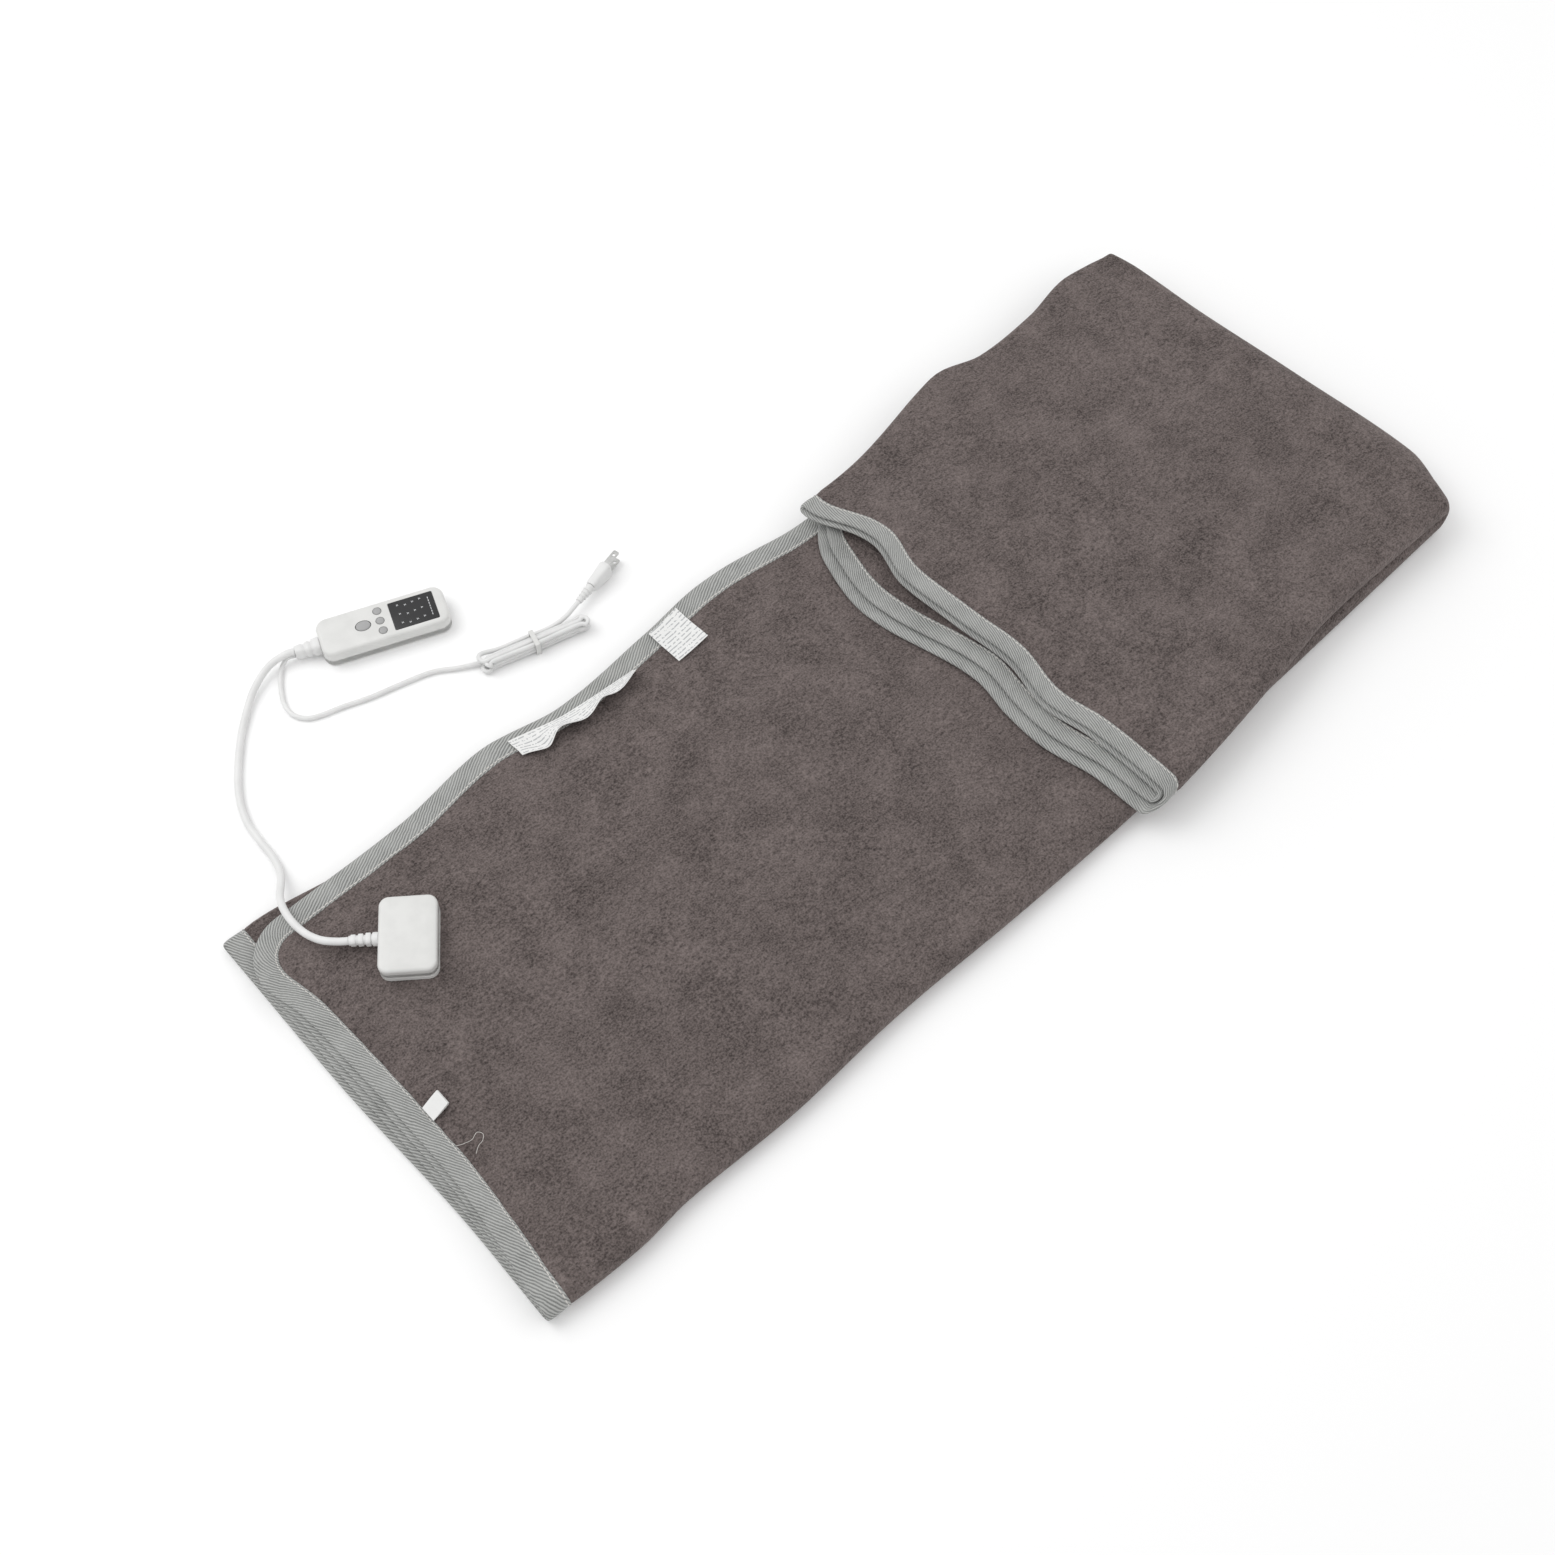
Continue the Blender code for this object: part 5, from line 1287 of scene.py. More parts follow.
# --- Moulded units -----------------------------------------------------------------------------------
@dataclass
class Unit:
    """A unit that stands level on the blanket or the floor: its middle and how far it is turned."""

    middle: Vector
    turn: float

    @property
    def matrix(self) -> Matrix:
        """From the unit's own frame to the row frame; heights are the same in both."""
        return Matrix.Translation((self.middle.x, self.middle.y, 0)) @ Matrix.Rotation(self.turn, 4, "Z")

    def point(self, ahead: float, side: float, height: float) -> Vector:
        """A point by its distance along the unit, across it, and its height."""
        return self.matrix @ Vector((ahead, side, height))

    def place(self, piece: Piece, body: str, *nodes: str) -> Piece:
        """Carry a piece modelled in the unit's frame to its place and let it stand for its nodes."""
        piece.data.transform(self.matrix)
        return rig.replaces(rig.ride(piece, body), *nodes)

    def shell(self, node: str, size: Pair, rims: tuple[float, float, float], wall: float,
              cuts: Sequence[Shape] = (), crown: float = 0.0) -> Piece:
        """One half of a two-part case, open towards the other half.

        Args:
            node: The CAD node it stands for, which gives its heights.
            size: Length and width.
            rims: The corner radius and the rounding of its top and bottom edges.
            wall: Wall thickness.
            cuts: Further closed shapes to cut away.
            crown: The swell of a top half; a bottom half has none.

        Returns:
            The shell, in the unit's frame.
        """
        low, high = (corner.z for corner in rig.box(node))
        corner, top, bottom = rims
        block = rounded_box((*size, high - low), low, corner, top, bottom, crown)
        piece = finished(f"{node}_case", block, Finish.WHITE, None)
        floor = low - wall if top > bottom else low + wall
        hollow = rounded_box((size[0] - 2 * wall, size[1] - 2 * wall, high - low), floor, corner - wall, 0, 0)
        return cut(piece, [hollow, *cuts])


def post(
    radius: float, low: float, high: float, centre: Pair = (0, 0), stretch: Pair = (1, 1)
) -> Shape:
    """An upright round or oval post."""
    shape = bmesh.new()
    bmesh.ops.create_cone(
        shape, cap_ends=True, segments=40, radius1=radius, radius2=radius, depth=high - low,
        matrix=Matrix.Translation((*centre, (low + high) / 2)) @ Matrix.Diagonal((*stretch, 1, 1)),
    )
    return shape


def moved(shape: Shape, ahead: float, side: float) -> Shape:
    """Shift a shape level."""
    bmesh.ops.translate(shape, vec=(ahead, side, 0), verts=shape.verts)
    return shape


@dataclass
class Connector(Unit):
    """The lift-off plug on its riveted base."""

    size: Pair = (0.072, 0.051)
    corner: float = 0.009
    wall: float = 0.0018
    relief: float = 0.026
    pins: float = 0.020
    pin_hole: float = 0.0018
    screws: float = 0.056
    screw_hole: float = 0.0027
    stem: float = 0.0043
    flange: float = 0.0062

    def build(self) -> Vector:
        """Make the two halves of the plug and its ribbed strain relief.

        Returns:
            Where the cord leaves the relief.
        """
        lower_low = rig.box("plug_lower_shell")[0].z
        seam = (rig.box("plug_lower_shell")[1].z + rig.box("plug_upper_shell")[0].z) / 2
        neck = placed(post(0.0041, self.size[1] / 2 - 0.004, self.size[1] / 2 + 0.002),
                      Matrix.Translation((0, 0, seam)) @ Matrix.Rotation(-math.pi / 2, 4, "X"))
        cuts = [neck.copy()]
        pins = (-self.pins / 2, self.pins / 2)
        cuts += [post(self.pin_hole, lower_low - 0.001, lower_low + 0.003, (x, 0)) for x in pins]
        screws = (-self.screws / 2, self.screws / 2)
        cuts += [post(self.screw_hole, lower_low - 0.001, lower_low + 0.0010, (x, 0)) for x in screws]
        lower = self.shell("plug_lower_shell", self.size, (self.corner, 0.0, 0.0009), self.wall, cuts)
        rims = (self.corner, 0.0030, 0.0)
        upper = self.shell("plug_upper_shell", self.size, rims, self.wall, [neck], 0.0007)
        self.place(lower, PLUG, "plug_lower_shell")
        self.place(upper, PLUG, "plug_upper_shell")
        relief = finished("ribbed_strain_relief", self._relief(seam), Finish.CORD, None)
        self.place(relief, PLUG, "plug_strain_relief")
        return self.point(0, self.size[1] / 2 + self.relief + 0.0003, seam)

    def _relief(self, height: float) -> Shape:
        """A flange, a stem and three collars with notches between them, on its own axis."""
        start, tip = self.size[1] / 2, self.size[1] / 2 + self.relief
        profile = [(0, start - 0.0038), (0.0038, start - 0.0038), (0.0038, start + 0.0003)]
        profile += [(self.flange, start + 0.0003), (self.flange, start + 0.0050), (0.0046, start + 0.0058)]
        pitch = (self.relief - 0.0065) / 3
        for collar in range(3):
            low, radius = start + 0.0065 + collar * pitch, self.flange - 0.0004 * collar
            profile += [(self.stem, low), (radius - 0.0003, low + 0.0003), (radius, low + 0.0008)]
            profile += [(radius, low + pitch - 0.0024), (radius - 0.0003, low + pitch - 0.0020)]
            profile += [(self.stem, low + pitch - 0.0017)]
        profile += [(self.stem, tip - 0.0002), (0, tip)]
        shape = lathe(profile, 28)
        for vert in shape.verts:
            across = math.hypot(vert.co.x, vert.co.y)
            if across > 0.0044 and vert.co.z > start + 0.006:
                squared = max(abs(vert.co.x), abs(vert.co.y)) / across
                vert.co.xy *= min(1.0, 0.86 / squared) if squared > 0.86 else 1.0
        turn = Matrix.Translation((0, 0, height)) @ Matrix.Rotation(-math.pi / 2, 4, "X")
        return placed(shape, turn)


@dataclass
class Controller(Unit):
    """The hand controller."""

    size: Pair = (0.124, 0.043)
    corner: float = 0.011
    wall: float = 0.0020
    window: Pair = (0.0436, 0.0320)
    window_x: float = 0.0304
    window_wall: float = 0.0012
    key_radius: float = 0.0040
    key_x: float = -0.0023
    key_pitch: float = 0.0114
    power_x: float = -0.0188
    power_size: Pair = (0.0145, 0.0110)
    screw_x: Pair = (-0.044, 0.0568)
    screw_hole: float = 0.0027
    play: float = 0.0003
    boot: float = 0.024
    boot_z: float = 0.0096

    def build(self) -> tuple[Vector, Vector]:
        """Make the case, keys, screen marks and boot.

        Returns:
            Where the thick cord and the thin cord meet the boot.
        """
        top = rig.box("controller_top_shell")[1].z
        ceiling = top - self.wall
        slot = rounded_box((0.008, 0.0131, 0.0141), self.boot_z - 0.00705, 0.001, 0, 0)
        slot = moved(slot, -self.size[0] / 2, 0)
        keys = self._keys()
        reach = self.key_radius + self.play
        openings = [post(reach, ceiling - 0.001, top + 0.002, spot, wide) for _, spot, wide in keys]
        pane = rounded_box((*self.window, 0.004), top - self.window_wall - self.play, 0.0016, 0, 0)
        view = (self.window[0] - 0.0036, self.window[1] - 0.0036, 0.008)
        sight = rounded_box(view, ceiling - 0.004, 0.001, 0, 0)
        cuts = [slot.copy(), moved(pane, self.window_x, 0), moved(sight, self.window_x, 0), *openings]
        upper = self.shell("controller_top_shell", self.size, (self.corner, 0.0034, 0.0), self.wall, cuts)
        screws = [post(self.screw_hole, -0.001, 0.0014, (x, 0)) for x in self.screw_x]
        rims = (self.corner, 0.0, 0.0018)
        lower = self.shell("controller_bottom_shell", self.size, rims, self.wall, [slot, *screws])
        self.place(upper, BLANKET, "controller_top_shell")
        self.place(lower, BLANKET, "controller_bottom_shell")
        for name, spot, wide in keys:
            self.place(self._key(name, spot, wide, ceiling, top), name, name)
        self._pane(top)
        self._boot()
        tip = -self.size[0] / 2 - self.boot - 0.0006
        return self.point(tip, 0, self.boot_z + 0.0030), self.point(tip, 0, self.boot_z - 0.0038)

    def _keys(self) -> list[tuple[str, Pair, Pair]]:
        """Each key's body, place and stretch."""
        oval = (self.power_size[0] / 2 / self.key_radius, self.power_size[1] / 2 / self.key_radius)
        rows = (("timer_button", 1), ("heat_button", 0), ("light_button", -1))
        keys = [("power_button", (self.power_x, 0.0), oval)]
        return keys + [(name, (self.key_x, row * self.key_pitch), (1.0, 1.0)) for name, row in rows]

    def _key(self, name: str, spot: Pair, wide: Pair, ceiling: float, top: float) -> Piece:
        """A domed key with its hidden flange."""
        radius, flange = self.key_radius, ceiling - self.play
        profile = [(0, flange - 0.0012), (radius + 0.0007, flange - 0.0012), (radius + 0.0007, flange)]
        profile += [(radius - 0.0001, flange), (radius - 0.0001, top - 0.0002)]
        profile += [(radius - 0.0003, top + 0.0002)]
        for share in (0.85, 0.65, 0.4, 0.2):
            profile.append((radius * share, top + 0.0003 + 0.0006 * (1 - share**2)))
        shape = lathe(profile + [(0, top + 0.0009)], 40)
        spread = Matrix.Translation((*spot, 0)) @ Matrix.Diagonal((*wide, 1, 1))
        return finished(f"{name}_cap", placed(shape, spread), Finish.KEY, None, 45.0)

    def _pane(self, top: float) -> None:
        """The dark window, its top a little rounded, and rows of small blank marks on it."""
        size = (self.window[0] - 2 * self.play, self.window[1] - 2 * self.play, self.window_wall)
        shape = moved(rounded_box(size, top - self.window_wall, 0.0013, 0.0002, 0), self.window_x, 0)
        self.place(finished("display_pane", shape, Finish.SCREEN, None), BLANKET, "display_window")
        marks = bmesh.new()
        cells = [(column, row) for column in range(4) for row in (-1, 0, 1)]
        spots = [(-0.0130 + 0.0072 * column, 0.0103 * row, 0.0018, 0.0024) for column, row in cells]
        spots = [(x, y + 0.0011 * math.sin(9 * x * 1000), long, wide) for x, y, long, wide in spots]
        spots += [(0.0162, -0.0095 + 0.00317 * number, 0.0009, 0.0022) for number in range(7)]
        for x, y, long, wide in spots:
            bars = ((0.0, wide),)
            if long >= 0.001:
                bars = ((-long * 0.33, wide * 0.8), (long * 0.33, wide * 0.55))
            for shift, width in bars:
                size = Matrix.Diagonal((long * 0.30 if len(bars) > 1 else long * 0.8, width, 0.00005, 1))
                spot = Matrix.Translation((self.window_x + x + shift, y, top + 0.00004))
                bmesh.ops.create_cube(marks, size=1.0, matrix=spot @ size)
        self.place(finished("display_marks", marks, Finish.MARK, None), BLANKET)

    def _boot(self) -> None:
        """The tapered rubber boot with its notches, its neck and the lip behind the wall."""
        end = -self.size[0] / 2
        stations = [(end + 0.0040, 0.0148, 0.0150), (end + 0.0024, 0.0148, 0.0150)]
        stations += [(end + 0.0023, 0.0124, 0.0134), (end - 0.0002, 0.0124, 0.0134)]
        stations += [(end - 0.0003, 0.0150, 0.0160), (end - 0.0020, 0.0155, 0.0165)]
        for number in range(9):
            share = (number + 1) / 10
            notch = 0.80 if number in (2, 5) else 0.98 if number in (1, 3, 4, 6) else 1.0
            size = (mixed(0.0155, 0.0100, share) * notch, mixed(0.0165, 0.0140, share) * notch)
            stations.append((end - 0.0020 - (self.boot - 0.002) * share, *size))
        stations += [(end - 0.0003 - self.boot, 0.0100, 0.0140)]
        shape = unit_grid(len(stations) - 1, AROUND)
        for vert in shape.verts:
            ahead, wide, tall = stations[round((vert.co.x + 0.5) * (len(stations) - 1))]
            angle = 2 * math.pi * (vert.co.y + 0.5)
            turn = (math.cos(angle), math.sin(angle))
            soft = [math.copysign(abs(part) ** 0.62, part) / 2 for part in turn]
            vert.co = (ahead, soft[0] * wide, self.boot_z + soft[1] * tall)
        close(shape, 1e-6)
        self.place(finished("notched_cord_boot", shape, Finish.CORD, None, 50.0), BLANKET, "cord_boot")


@dataclass
class MainsPlug(Unit):
    """The flat plug at the end of the mains cord, lying on its edge."""

    body: float = 0.026
    boot: float = 0.020
    root: Pair = (0.0130, 0.0200)
    tip: Pair = (0.0105, 0.0130)
    cord: float = 0.0023

    def build(self) -> tuple[Vector, list[Piece]]:
        """Make the plug.

        Returns:
            Where the cord meets its boot, and its pieces.
        """
        height = self.root[1] / 2
        shape = unit_grid(12, AROUND)
        for vert in shape.verts:
            share = vert.co.x + 0.5
            angle = 2 * math.pi * (vert.co.y + 0.5)
            round_off = math.sqrt(1 - (max(0.0, abs(2 * share - 1) - 0.86) / 0.16) ** 2 * 0.35)
            ends = zip(self.root, self.tip)
            wide, tall = (mixed(first, last, ease(share)) * round_off for first, last in ends)
            soft = [math.copysign(abs(part) ** 0.55, part) / 2 for part in (math.cos(angle), math.sin(angle))]
            vert.co = (-self.body * share, soft[0] * wide, height + soft[1] * tall)
        close(shape, 1e-6)
        body = finished("mains_plug_case", shape, Finish.CORD, None, 50.0)
        blades = [(1, height + 0.00635), (2, height - 0.00635)]
        pockets = [rounded_box((0.0126, 0.0070, 0.0021), low - 0.00105, 0.0004, 0, 0) for _, low in blades]
        self.place(cut(body, pockets), BLANKET, "mains_plug_body")
        back = -self.body - 0.0003
        profile = [(0, 0), (0.0048, 0), (0.0050, 0.0012)]
        for ring in range(4):
            start, radius = 0.0028 + ring * 0.0040, 0.0047 - ring * 0.0004
            profile += [(radius - 0.0007, start), (radius - 0.0007, start + 0.0012)]
            profile += [(radius, start + 0.0016), (radius - 0.0001, start + 0.0036)]
        profile += [(self.cord + 0.0009, self.boot - 0.0003), (self.cord + 0.0006, self.boot), (0, self.boot)]
        turn = Matrix.Translation((back, 0, height)) @ Matrix.Rotation(-math.pi / 2, 4, "Y")
        boot = finished("mains_plug_ribbed_boot", placed(lathe(profile, 28), turn), Finish.CORD, None)
        self.place(boot, BLANKET, "mains_plug_boot")
        pins = [self._blade(number, low) for number, low in blades]
        return self.point(back - self.boot - 0.0003, 0, height), [body, boot, *pins]

    def _blade(self, number: int, height: float) -> Piece:
        """A flat blade with a rounded tip and a hole."""
        shape = rounded_box((0.0235, 0.0064, 0.0015), height - 0.00075, 0.0016, 0.0003, 0.0003)
        blade = finished(f"mains_blade_{number}_pin", moved(shape, 0.00575, 0), Finish.STEEL, None)
        cut(blade, [post(0.0016, height - 0.002, height + 0.002, (0.0125, 0))])
        return self.place(blade, BLANKET, f"mains_blade_{number}")


# --- Cords -------------------------------------------------------------------------------------------
@dataclass
class Cords:
    """The thick cord from plug to controller, and the thin mains cord with its tied hank."""

    connector: Connector
    controller: Controller
    plug: MainsPlug
    hank: Unit
    thick: float = 0.0035
    thin: float = 0.0023
    lead: float = 0.0085
    run: float = 0.092
    pitch: float = 0.0047
    thick_step: float = 0.004
    thin_step: float = 0.003
    link_route: tuple[Point, ...] = (
        (-0.5115, 0.1630, 0.0325), (-0.5172, 0.1785, 0.0303),
        (-0.5186, 0.1960, 0.0286), (-0.5165, 0.2120, 0.0270),
        (-0.5115, 0.2250, 0.0232), (-0.5045, 0.2360, 0.0165),
        (-0.4975, 0.2470, 0.0098), (-0.4925, 0.2590, 0.0054),
        (-0.4895, 0.2740, 0.0038), (-0.4885, 0.2920, 0.0036),
        (-0.4850, 0.3190, 0.0036), (-0.4710, 0.3500, 0.0036),
        (-0.4420, 0.3870, 0.0038), (-0.4150, 0.4120, 0.0050),
        (-0.3950, 0.4255, 0.0072), (-0.3740, 0.4328, 0.0100),
    )
    mains_route: tuple[Point, ...] = (
        (-0.3650, 0.4270, 0.0032), (-0.3730, 0.4185, 0.0025),
        (-0.3805, 0.4070, 0.0024), (-0.3870, 0.3930, 0.0024),
        (-0.3875, 0.3790, 0.0024), (-0.3800, 0.3670, 0.0024),
        (-0.3670, 0.3605, 0.0024), (-0.3480, 0.3545, 0.0024),
        (-0.3230, 0.3450, 0.0024), (-0.2940, 0.3370, 0.0024),
        (-0.2640, 0.3275, 0.0024), (-0.2420, 0.3130, 0.0030),
    )
    tail_route: tuple[Point, ...] = ((-0.1470, 0.2878, 0.0046), (-0.1350, 0.2864, 0.0072))

    def build(self, ends: tuple[Vector, Vector, Vector, Vector], plug_pieces: list[Piece]) -> None:
        """Make and declare both cords.

        Args:
            ends: The relief tip, the boot's two cord places and the mains plug's boot.
            plug_pieces: The mains plug's pieces.
        """
        relief, thick_end, thin_start, plug_end = ends
        out = self.connector.matrix.to_3x3() @ Vector((0, self.lead, 0))
        back = self.controller.matrix.to_3x3() @ Vector((-self.lead, 0, 0))
        points = (relief, relief + out, *self.link_route, thick_end + back, thick_end)
        route = smooth_route(points, self.thick_step)
        link_length = length_of(route)
        link = tube("controller_cord", route, self.thick, Finish.CORD, 6)
        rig.blend(link, PLUG, BLANKET, start=(0, relief.y + 0.004, 0), end=(0, 0.245, 0))
        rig.replaces(link, "link_cord")
        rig.cord(
            link, exit=relief, length=link_length, diameter=2 * self.thick, far_end="object",
            stiffness="medium", lay="loose", path=route,
        )
        inward = self.plug.matrix.to_3x3() @ Vector((-self.lead, 0, 0))
        wound = self._winding()
        points = (thin_start, thin_start + back, *self.mains_route, *wound)
        points += (*self.tail_route, plug_end + inward, plug_end)
        route = smooth_route(points, self.thin_step)
        data = line_of("mains_cord_line", route, self.thin, 4)
        data.splines[0].use_smooth = True
        mains = Finish.CORD.dress(linked("mains_lead", data))
        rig.replaces(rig.ride(mains, BLANKET), "mains_cord", "mains_hank", "mains_tail")
        tie = self._tie()
        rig.cord(
            mains, exit=thin_start, length=length_of(route), diameter=2 * self.thin, far_end="plug",
            stiffness="medium", lay="coiled", with_pieces=[tie, *plug_pieces],
        )
        LOG.info("cords: %.3f m thick, %.3f m thin", link_length, length_of(route))

    def _winding(self) -> list[Vector]:
        """The hank: eight runs, three by three, with soft end loops, then the way out beside it."""
        level = [self.thin + 0.0013 + self.pitch * number for number in range(3)]
        runs = [(1, 0), (-1, 0), (0, 0), (1, 1), (-1, 1), (0, 1), (-1, 2), (0, 2)]
        half = self.run / 2
        points = []
        for number, (column, height) in enumerate(runs):
            side, z = column * self.pitch, level[height]
            heading = 1 if number % 2 == 0 else -1
            short = 0.004 * (height == 1)
            reach = [half - short, half * 0.55, half * 0.2, -half * 0.2, -half * 0.55, short - half]
            drift = 0.0005 * math.sin(number * 2.3)
            for step in reversed(reach) if heading > 0 else reach:
                points.append((step, side + drift * (abs(step) > half * 0.3), z))
            following = runs[number + 1] if number + 1 < len(runs) else (2.35, 1)
            next_side, next_z = following[0] * self.pitch, level[following[1]]
            middle = (side + next_side) / 2
            swing = max(abs(next_side - side) / 2, 0.0047) * (1 if side > next_side else -1)
            away = half + 0.0045 - short
            points.append((heading * away, middle + swing * 1.02, mixed(z, next_z, 0.25)))
            points.append((heading * (away + 0.0040), middle, (z + next_z) / 2))
            points.append((heading * away, middle - swing * 1.02, mixed(z, next_z, 0.75)))
        beside = self.pitch * 2.35
        points += [(-half * 0.7, beside, 0.0052), (-half * 0.3, beside + 0.0003, 0.0046)]
        points += [(0.0, beside + 0.0004, 0.0044), (0.0130, beside - 0.0004, 0.0044)]
        return [self.hank.point(*point) for point in points]

    def _tie(self) -> Piece:
        """The thin tie round the hank's middle."""
        low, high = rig.box("hank_tie")
        width, tall = 0.0182, high.z
        shape = rounded_box((0.0045, width, tall), 0.0, 0.0004, 0, 0)
        edges = [edge for edge in shape.edges if abs(edge.verts[0].co.x - edge.verts[1].co.x) > 0.003]
        bevel(shape, edges, 0.0030, 5)
        tie = finished("hank_tie_strap", shape, Finish.WHITE, None)
        hollow = rounded_box((0.010, width - 0.0018, tall - 0.0018), 0.0009, 0.0, 0, 0)
        edges = [edge for edge in hollow.edges if abs(edge.verts[0].co.x - edge.verts[1].co.x) > 0.003]
        bevel(hollow, edges, 0.0022, 5)
        return self.hank.place(cut(tie, [hollow]), BLANKET, "hank_tie")


# --- Labels ------------------------------------------------------------------------------------------
@dataclass
class Labels:
    """The two labels at the free edge, the small loop tag and the stray loop of thread."""

    plan: FoldPlan
    wall: float = 0.0004
    thread: float = 0.00023
    spread: Contour = Contour((
        (0.0, 0.80), (0.15, 1.0), (0.32, 0.64), (0.50, 0.74), (0.68, 0.52), (0.85, 0.58), (1.0, 0.30),
    ))
    curl: Contour = Contour((
        (0.0, 0.002), (0.15, 0.004), (0.32, 0.011), (0.50, 0.009), (0.68, 0.012), (0.85, 0.011), (1.0, 0.012),
    ))

    def build(self) -> None:
        """Make all four."""
        self.slip("care_label_tape", (0.038, 0.045), self._care, Finish.LABEL, "care_label", (12, 16))
        size, counts = (0.130, 0.026), (48, 14)
        self.slip("warning_label_tape", size, self._warning, Finish.LABEL, "warning_label", counts)
        self.slip("folded_loop_tag", (0.058, 0.015), self._tag, Finish.TAG, "loop_tag", (36, 6))
        self._thread()

    def on_top(self, x: float, y: float, lift: float) -> Vector:
        """A point so far above the top layer's fleece."""
        edge = self.plan.legs[0].y
        return self.plan.place(Portion.STACK, edge - y, x - self.plan.hem_x, self.plan.panel / 2 + lift)

    def slip(self, name: str, size: Pair, at: Callable[[float, float, float], Vector], finish: Finish,
             node: str, counts: tuple[int, int]) -> None:
        """A thin closed strip laid by a function of its two shares and its height in itself."""
        shape = unit_grid(*counts)
        raised = bmesh.ops.extrude_face_region(shape, geom=shape.faces[:])["geom"]
        top = {item for item in raised if isinstance(item, bmesh.types.BMVert)}
        layer = shape.loops.layers.uv.new("print")
        for face in shape.faces:
            for loop in face.loops:
                loop[layer].uv = ((loop.vert.co.x + 0.5) * size[0], (loop.vert.co.y + 0.5) * size[1])
        for vert in shape.verts:
            vert.co = at(vert.co.x + 0.5, vert.co.y + 0.5, self.wall if vert in top else 0.0)
        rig.replaces(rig.ride(finished(name, shape, finish, None, SOFT_EDGE), BLANKET), node)

    def _care(self, along: float, across: float, lift: float) -> Vector:
        """The square label: flat at its seam, a little lifted at its free corner."""
        x = mixed(-0.096, -0.058, along)
        y = mixed(0.1675, 0.2105, across) - 0.002 * (1 - across) * along
        rise = 0.0010 + 0.0022 * (1 - across) ** 2 * (0.3 + along) + 0.0005 * math.sin(5 * along + 2)
        return self.on_top(x, y, rise + lift)

    def _warning(self, along: float, across: float, lift: float) -> Vector:
        """The long label: sewn along one side, its free side curled up in waves."""
        x = mixed(-0.266, -0.134, along) + 0.002 * math.sin(14 * along) * (1 - across)
        y = 0.206 - 0.012 * along + 0.003 * math.sin(math.pi * along)
        out = 0.026 * (1 - across) * self.spread.at(along)
        rise = 0.0010 + (1 - across) ** 1.2 * self.curl.at(along)
        rise += 0.0016 * math.sin(22 * along + 5 * across) * (1 - across)
        rise = max(rise, 0.0008)
        return self.on_top(x, y - out + lift * 0.5, rise + lift * 0.8)

    def _tag(self, along: float, across: float, lift: float) -> Vector:
        """The loop tag: out over the fleece, round its fold and back on top."""
        x0, reach, bulge = self.plan.hem_x + 0.0215, 0.0265, 0.0019
        far = along * 2
        if far <= 0.94:
            x, z = x0 + reach * far, 0.0006
        elif far < 1.06:
            angle = math.pi * (far - 0.94) / 0.12
            x, z = x0 + reach * 0.94 + bulge * math.sin(angle), 0.0006 + bulge * (1 - math.cos(angle))
        else:
            x, z = x0 + reach * (2 - far), 0.0006 + 2 * bulge - 0.0030 * (far - 1.06)
        wave = 0.0010 * math.sin(math.pi * min(far, 2 - far)) * (across - 0.3)
        inner = lift * math.cos(math.pi * min(max((far - 0.94) / 0.12, 0.0), 1.0))
        return self.on_top(x, -0.0275 + 0.015 * across + 0.003 * (x - x0) / reach, z + wave + inner + 0.0004)

    def _thread(self) -> None:
        """A loose loop of sewing thread that stands up from the hem's stitching."""
        hem = self.plan.hem_x
        spots = [(0.022, -0.058, 0.0008), (0.030, -0.061, 0.0016), (0.040, -0.063, 0.0024)]
        spots += [(0.049, -0.061, 0.0034), (0.053, -0.066, 0.0040), (0.048, -0.070, 0.0030)]
        spots += [(0.041, -0.071, 0.0020), (0.033, -0.075, 0.0010)]
        points = [self.on_top(hem + x, y, lift) for x, y, lift in spots]
        route = smooth_route(points, 0.001)
        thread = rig.ride(tube("stray_thread", route, self.thread, Finish.THREAD, 2), BLANKET)
        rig.cord(
            thread, exit=points[0], length=length_of(route), diameter=2 * self.thread, far_end="bare",
            stiffness="limp", lay="loose", path=route,
        )


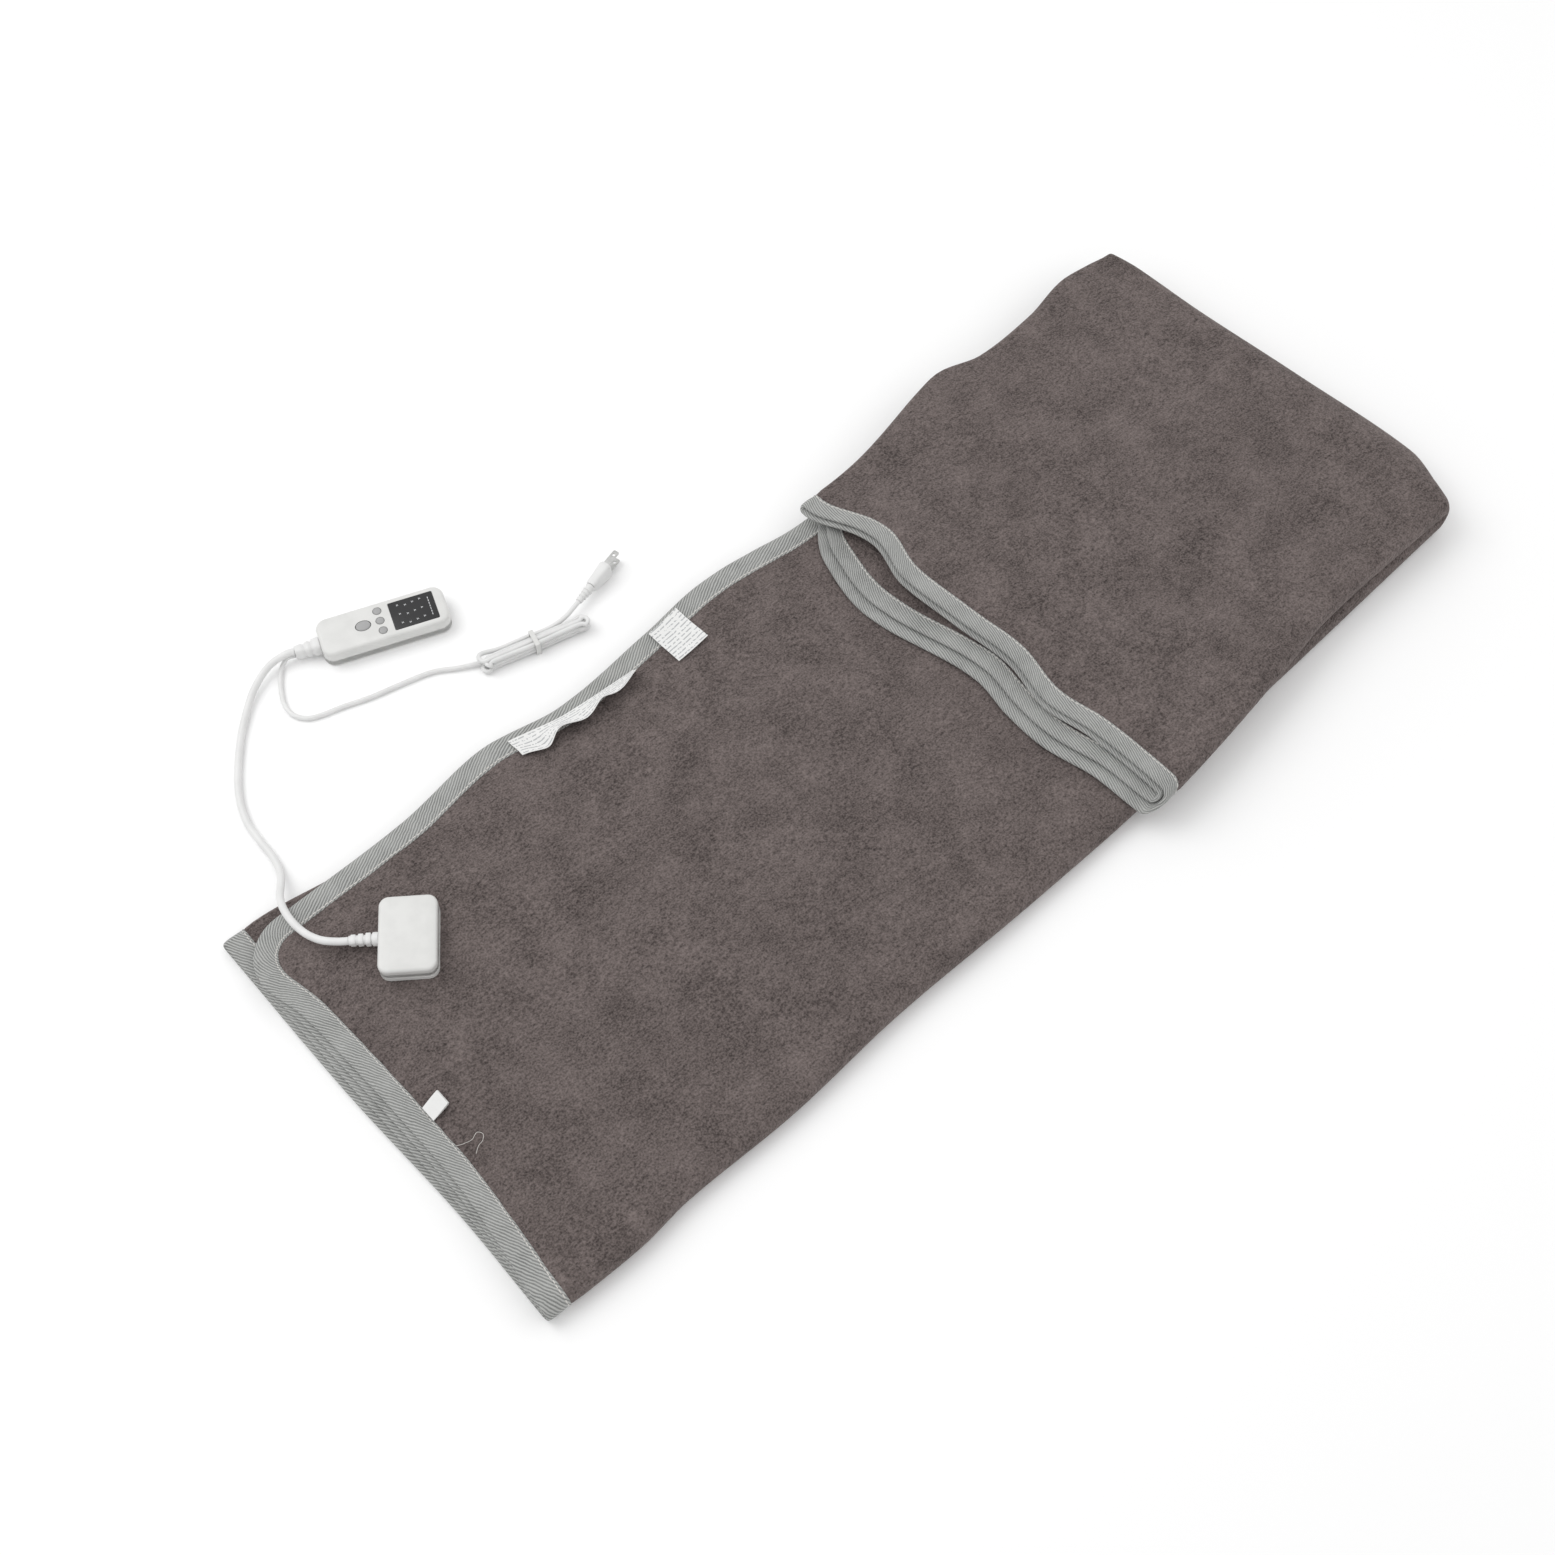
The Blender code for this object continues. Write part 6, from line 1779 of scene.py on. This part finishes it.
# --- Picture -----------------------------------------------------------------------------------------
@dataclass
class Studio:
    """The pale floor, soft light and camera."""

    eye: Point = (-0.726, -0.639, 1.650)
    aim: Point = (-0.104, 0.024, 0.0)
    lens: float = 47.69
    key_power: float = 26.0
    sky: float = 0.82

    def build(self) -> None:
        """Make the stage."""
        scene = bpy.context.scene
        data = bpy.data.cameras.new("view")
        data.lens, data.sensor_width = self.lens, 36.0
        camera = bpy.data.objects.new("view", data)
        camera.location = self.eye
        camera.rotation_euler = (Vector(self.aim) - Vector(self.eye)).to_track_quat("-Z", "Y").to_euler()
        scene.collection.objects.link(camera)
        scene.camera = camera
        world = bpy.data.worlds.new("soft_sky")
        world.use_nodes = True
        background = world.node_tree.nodes["Background"]
        background.inputs["Color"].default_value = (1.0, 1.0, 1.0, 1.0)
        background.inputs["Strength"].default_value = self.sky
        scene.world = world
        scene.view_settings.view_transform = "Standard"
        for name, spot, size, power in (
            ("key_light", (-0.9, 1.5, 2.2), 2.0, self.key_power),
            ("fill_light", (1.6, -1.2, 2.0), 2.6, self.key_power * 0.3),
        ):
            lamp = bpy.data.lights.new(name, "AREA")
            lamp.energy, lamp.size = power, size
            light = bpy.data.objects.new(name, lamp)
            light.location = spot
            light.rotation_euler = (Vector((0, 0.1, 0)) - Vector(spot)).to_track_quat("-Z", "Y").to_euler()
            scene.collection.objects.link(light)
        shape = bmesh.new()
        bmesh.ops.create_grid(shape, x_segments=1, y_segments=1, size=6.0)
        bmesh.ops.translate(shape, vec=(0, 0, -0.0004), verts=shape.verts)
        mesh = bpy.data.meshes.new("floor")
        shape.to_mesh(mesh)
        shape.free()
        floor = bpy.data.objects.new("floor", mesh)
        scene.collection.objects.link(floor)
        graph = Graph("floor_paper")
        graph.shade(Base_Color=(0.96, 0.96, 0.96, 1.0), Roughness=0.9, Specular_IOR_Level=0.1)
        mesh.materials.append(graph.material)
        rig.stage(floor)


def dress_cad() -> None:
    """Give every CAD node that still shows its finish."""
    starts = (
        ("heating_wire", Finish.WIRE), ("socket_base", Finish.WHITE), ("socket_back", Finish.WHITE),
        ("socket_pin", Finish.BRASS), ("plug_contact", Finish.BRASS), ("socket_rivet", Finish.STEEL),
        ("plug_screw", Finish.STEEL), ("controller_screw", Finish.STEEL), ("controller_board", Finish.BOARD),
        ("button_pad", Finish.SILICONE), ("fuse", Finish.STEEL), ("display_module", Finish.BLACK),
        ("film_capacitor", Finish.BLACK), ("triac", Finish.BLACK), ("control_chip", Finish.BLACK),
    )
    for name, node in frame["nodes"].items():
        if node.hide_render:
            continue
        finish = next(found for start, found in starts if name.startswith(start))
        for slot in node.material_slots:
            slot.material = finish.material()
        LOG.info("node %s keeps its shape, in %s", name, finish.name.lower())


def main() -> None:
    """Build everything in order."""
    logging.basicConfig(level=logging.INFO, format="%(message)s")
    Studio().build()
    connector = Connector(centre_of("plug_upper_shell"), math.radians(51.0))
    controller = Controller(centre_of("controller_top_shell"), math.radians(-22.6))
    plug = MainsPlug(Vector((-0.0700, 0.3005, 0)), math.radians(13.7))
    hank = Unit(centre_of("mains_hank"), math.radians(-15.5))
    relief = connector.build()
    thick_end, thin_start = controller.build()
    plug_end, plug_pieces = plug.build()
    Cords(connector, controller, plug, hank).build((relief, thick_end, thin_start, plug_end), plug_pieces)
    plan = FoldPlan()
    cloth = Blanket(plan).build()
    Labels(plan).build()
    dress_cad()
    for piece in cloth:
        LOG.info("%s: %d faces", piece.name, len(piece.data.polygons))
    size = {"cad": [list(corner) for corner in CAD_BOX], "looks": [list(corner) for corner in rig.bounds()]}
    with open(SIZE_FILE, "w") as file:
        json.dump(size, file)


if __name__ == "__main__":
    main()
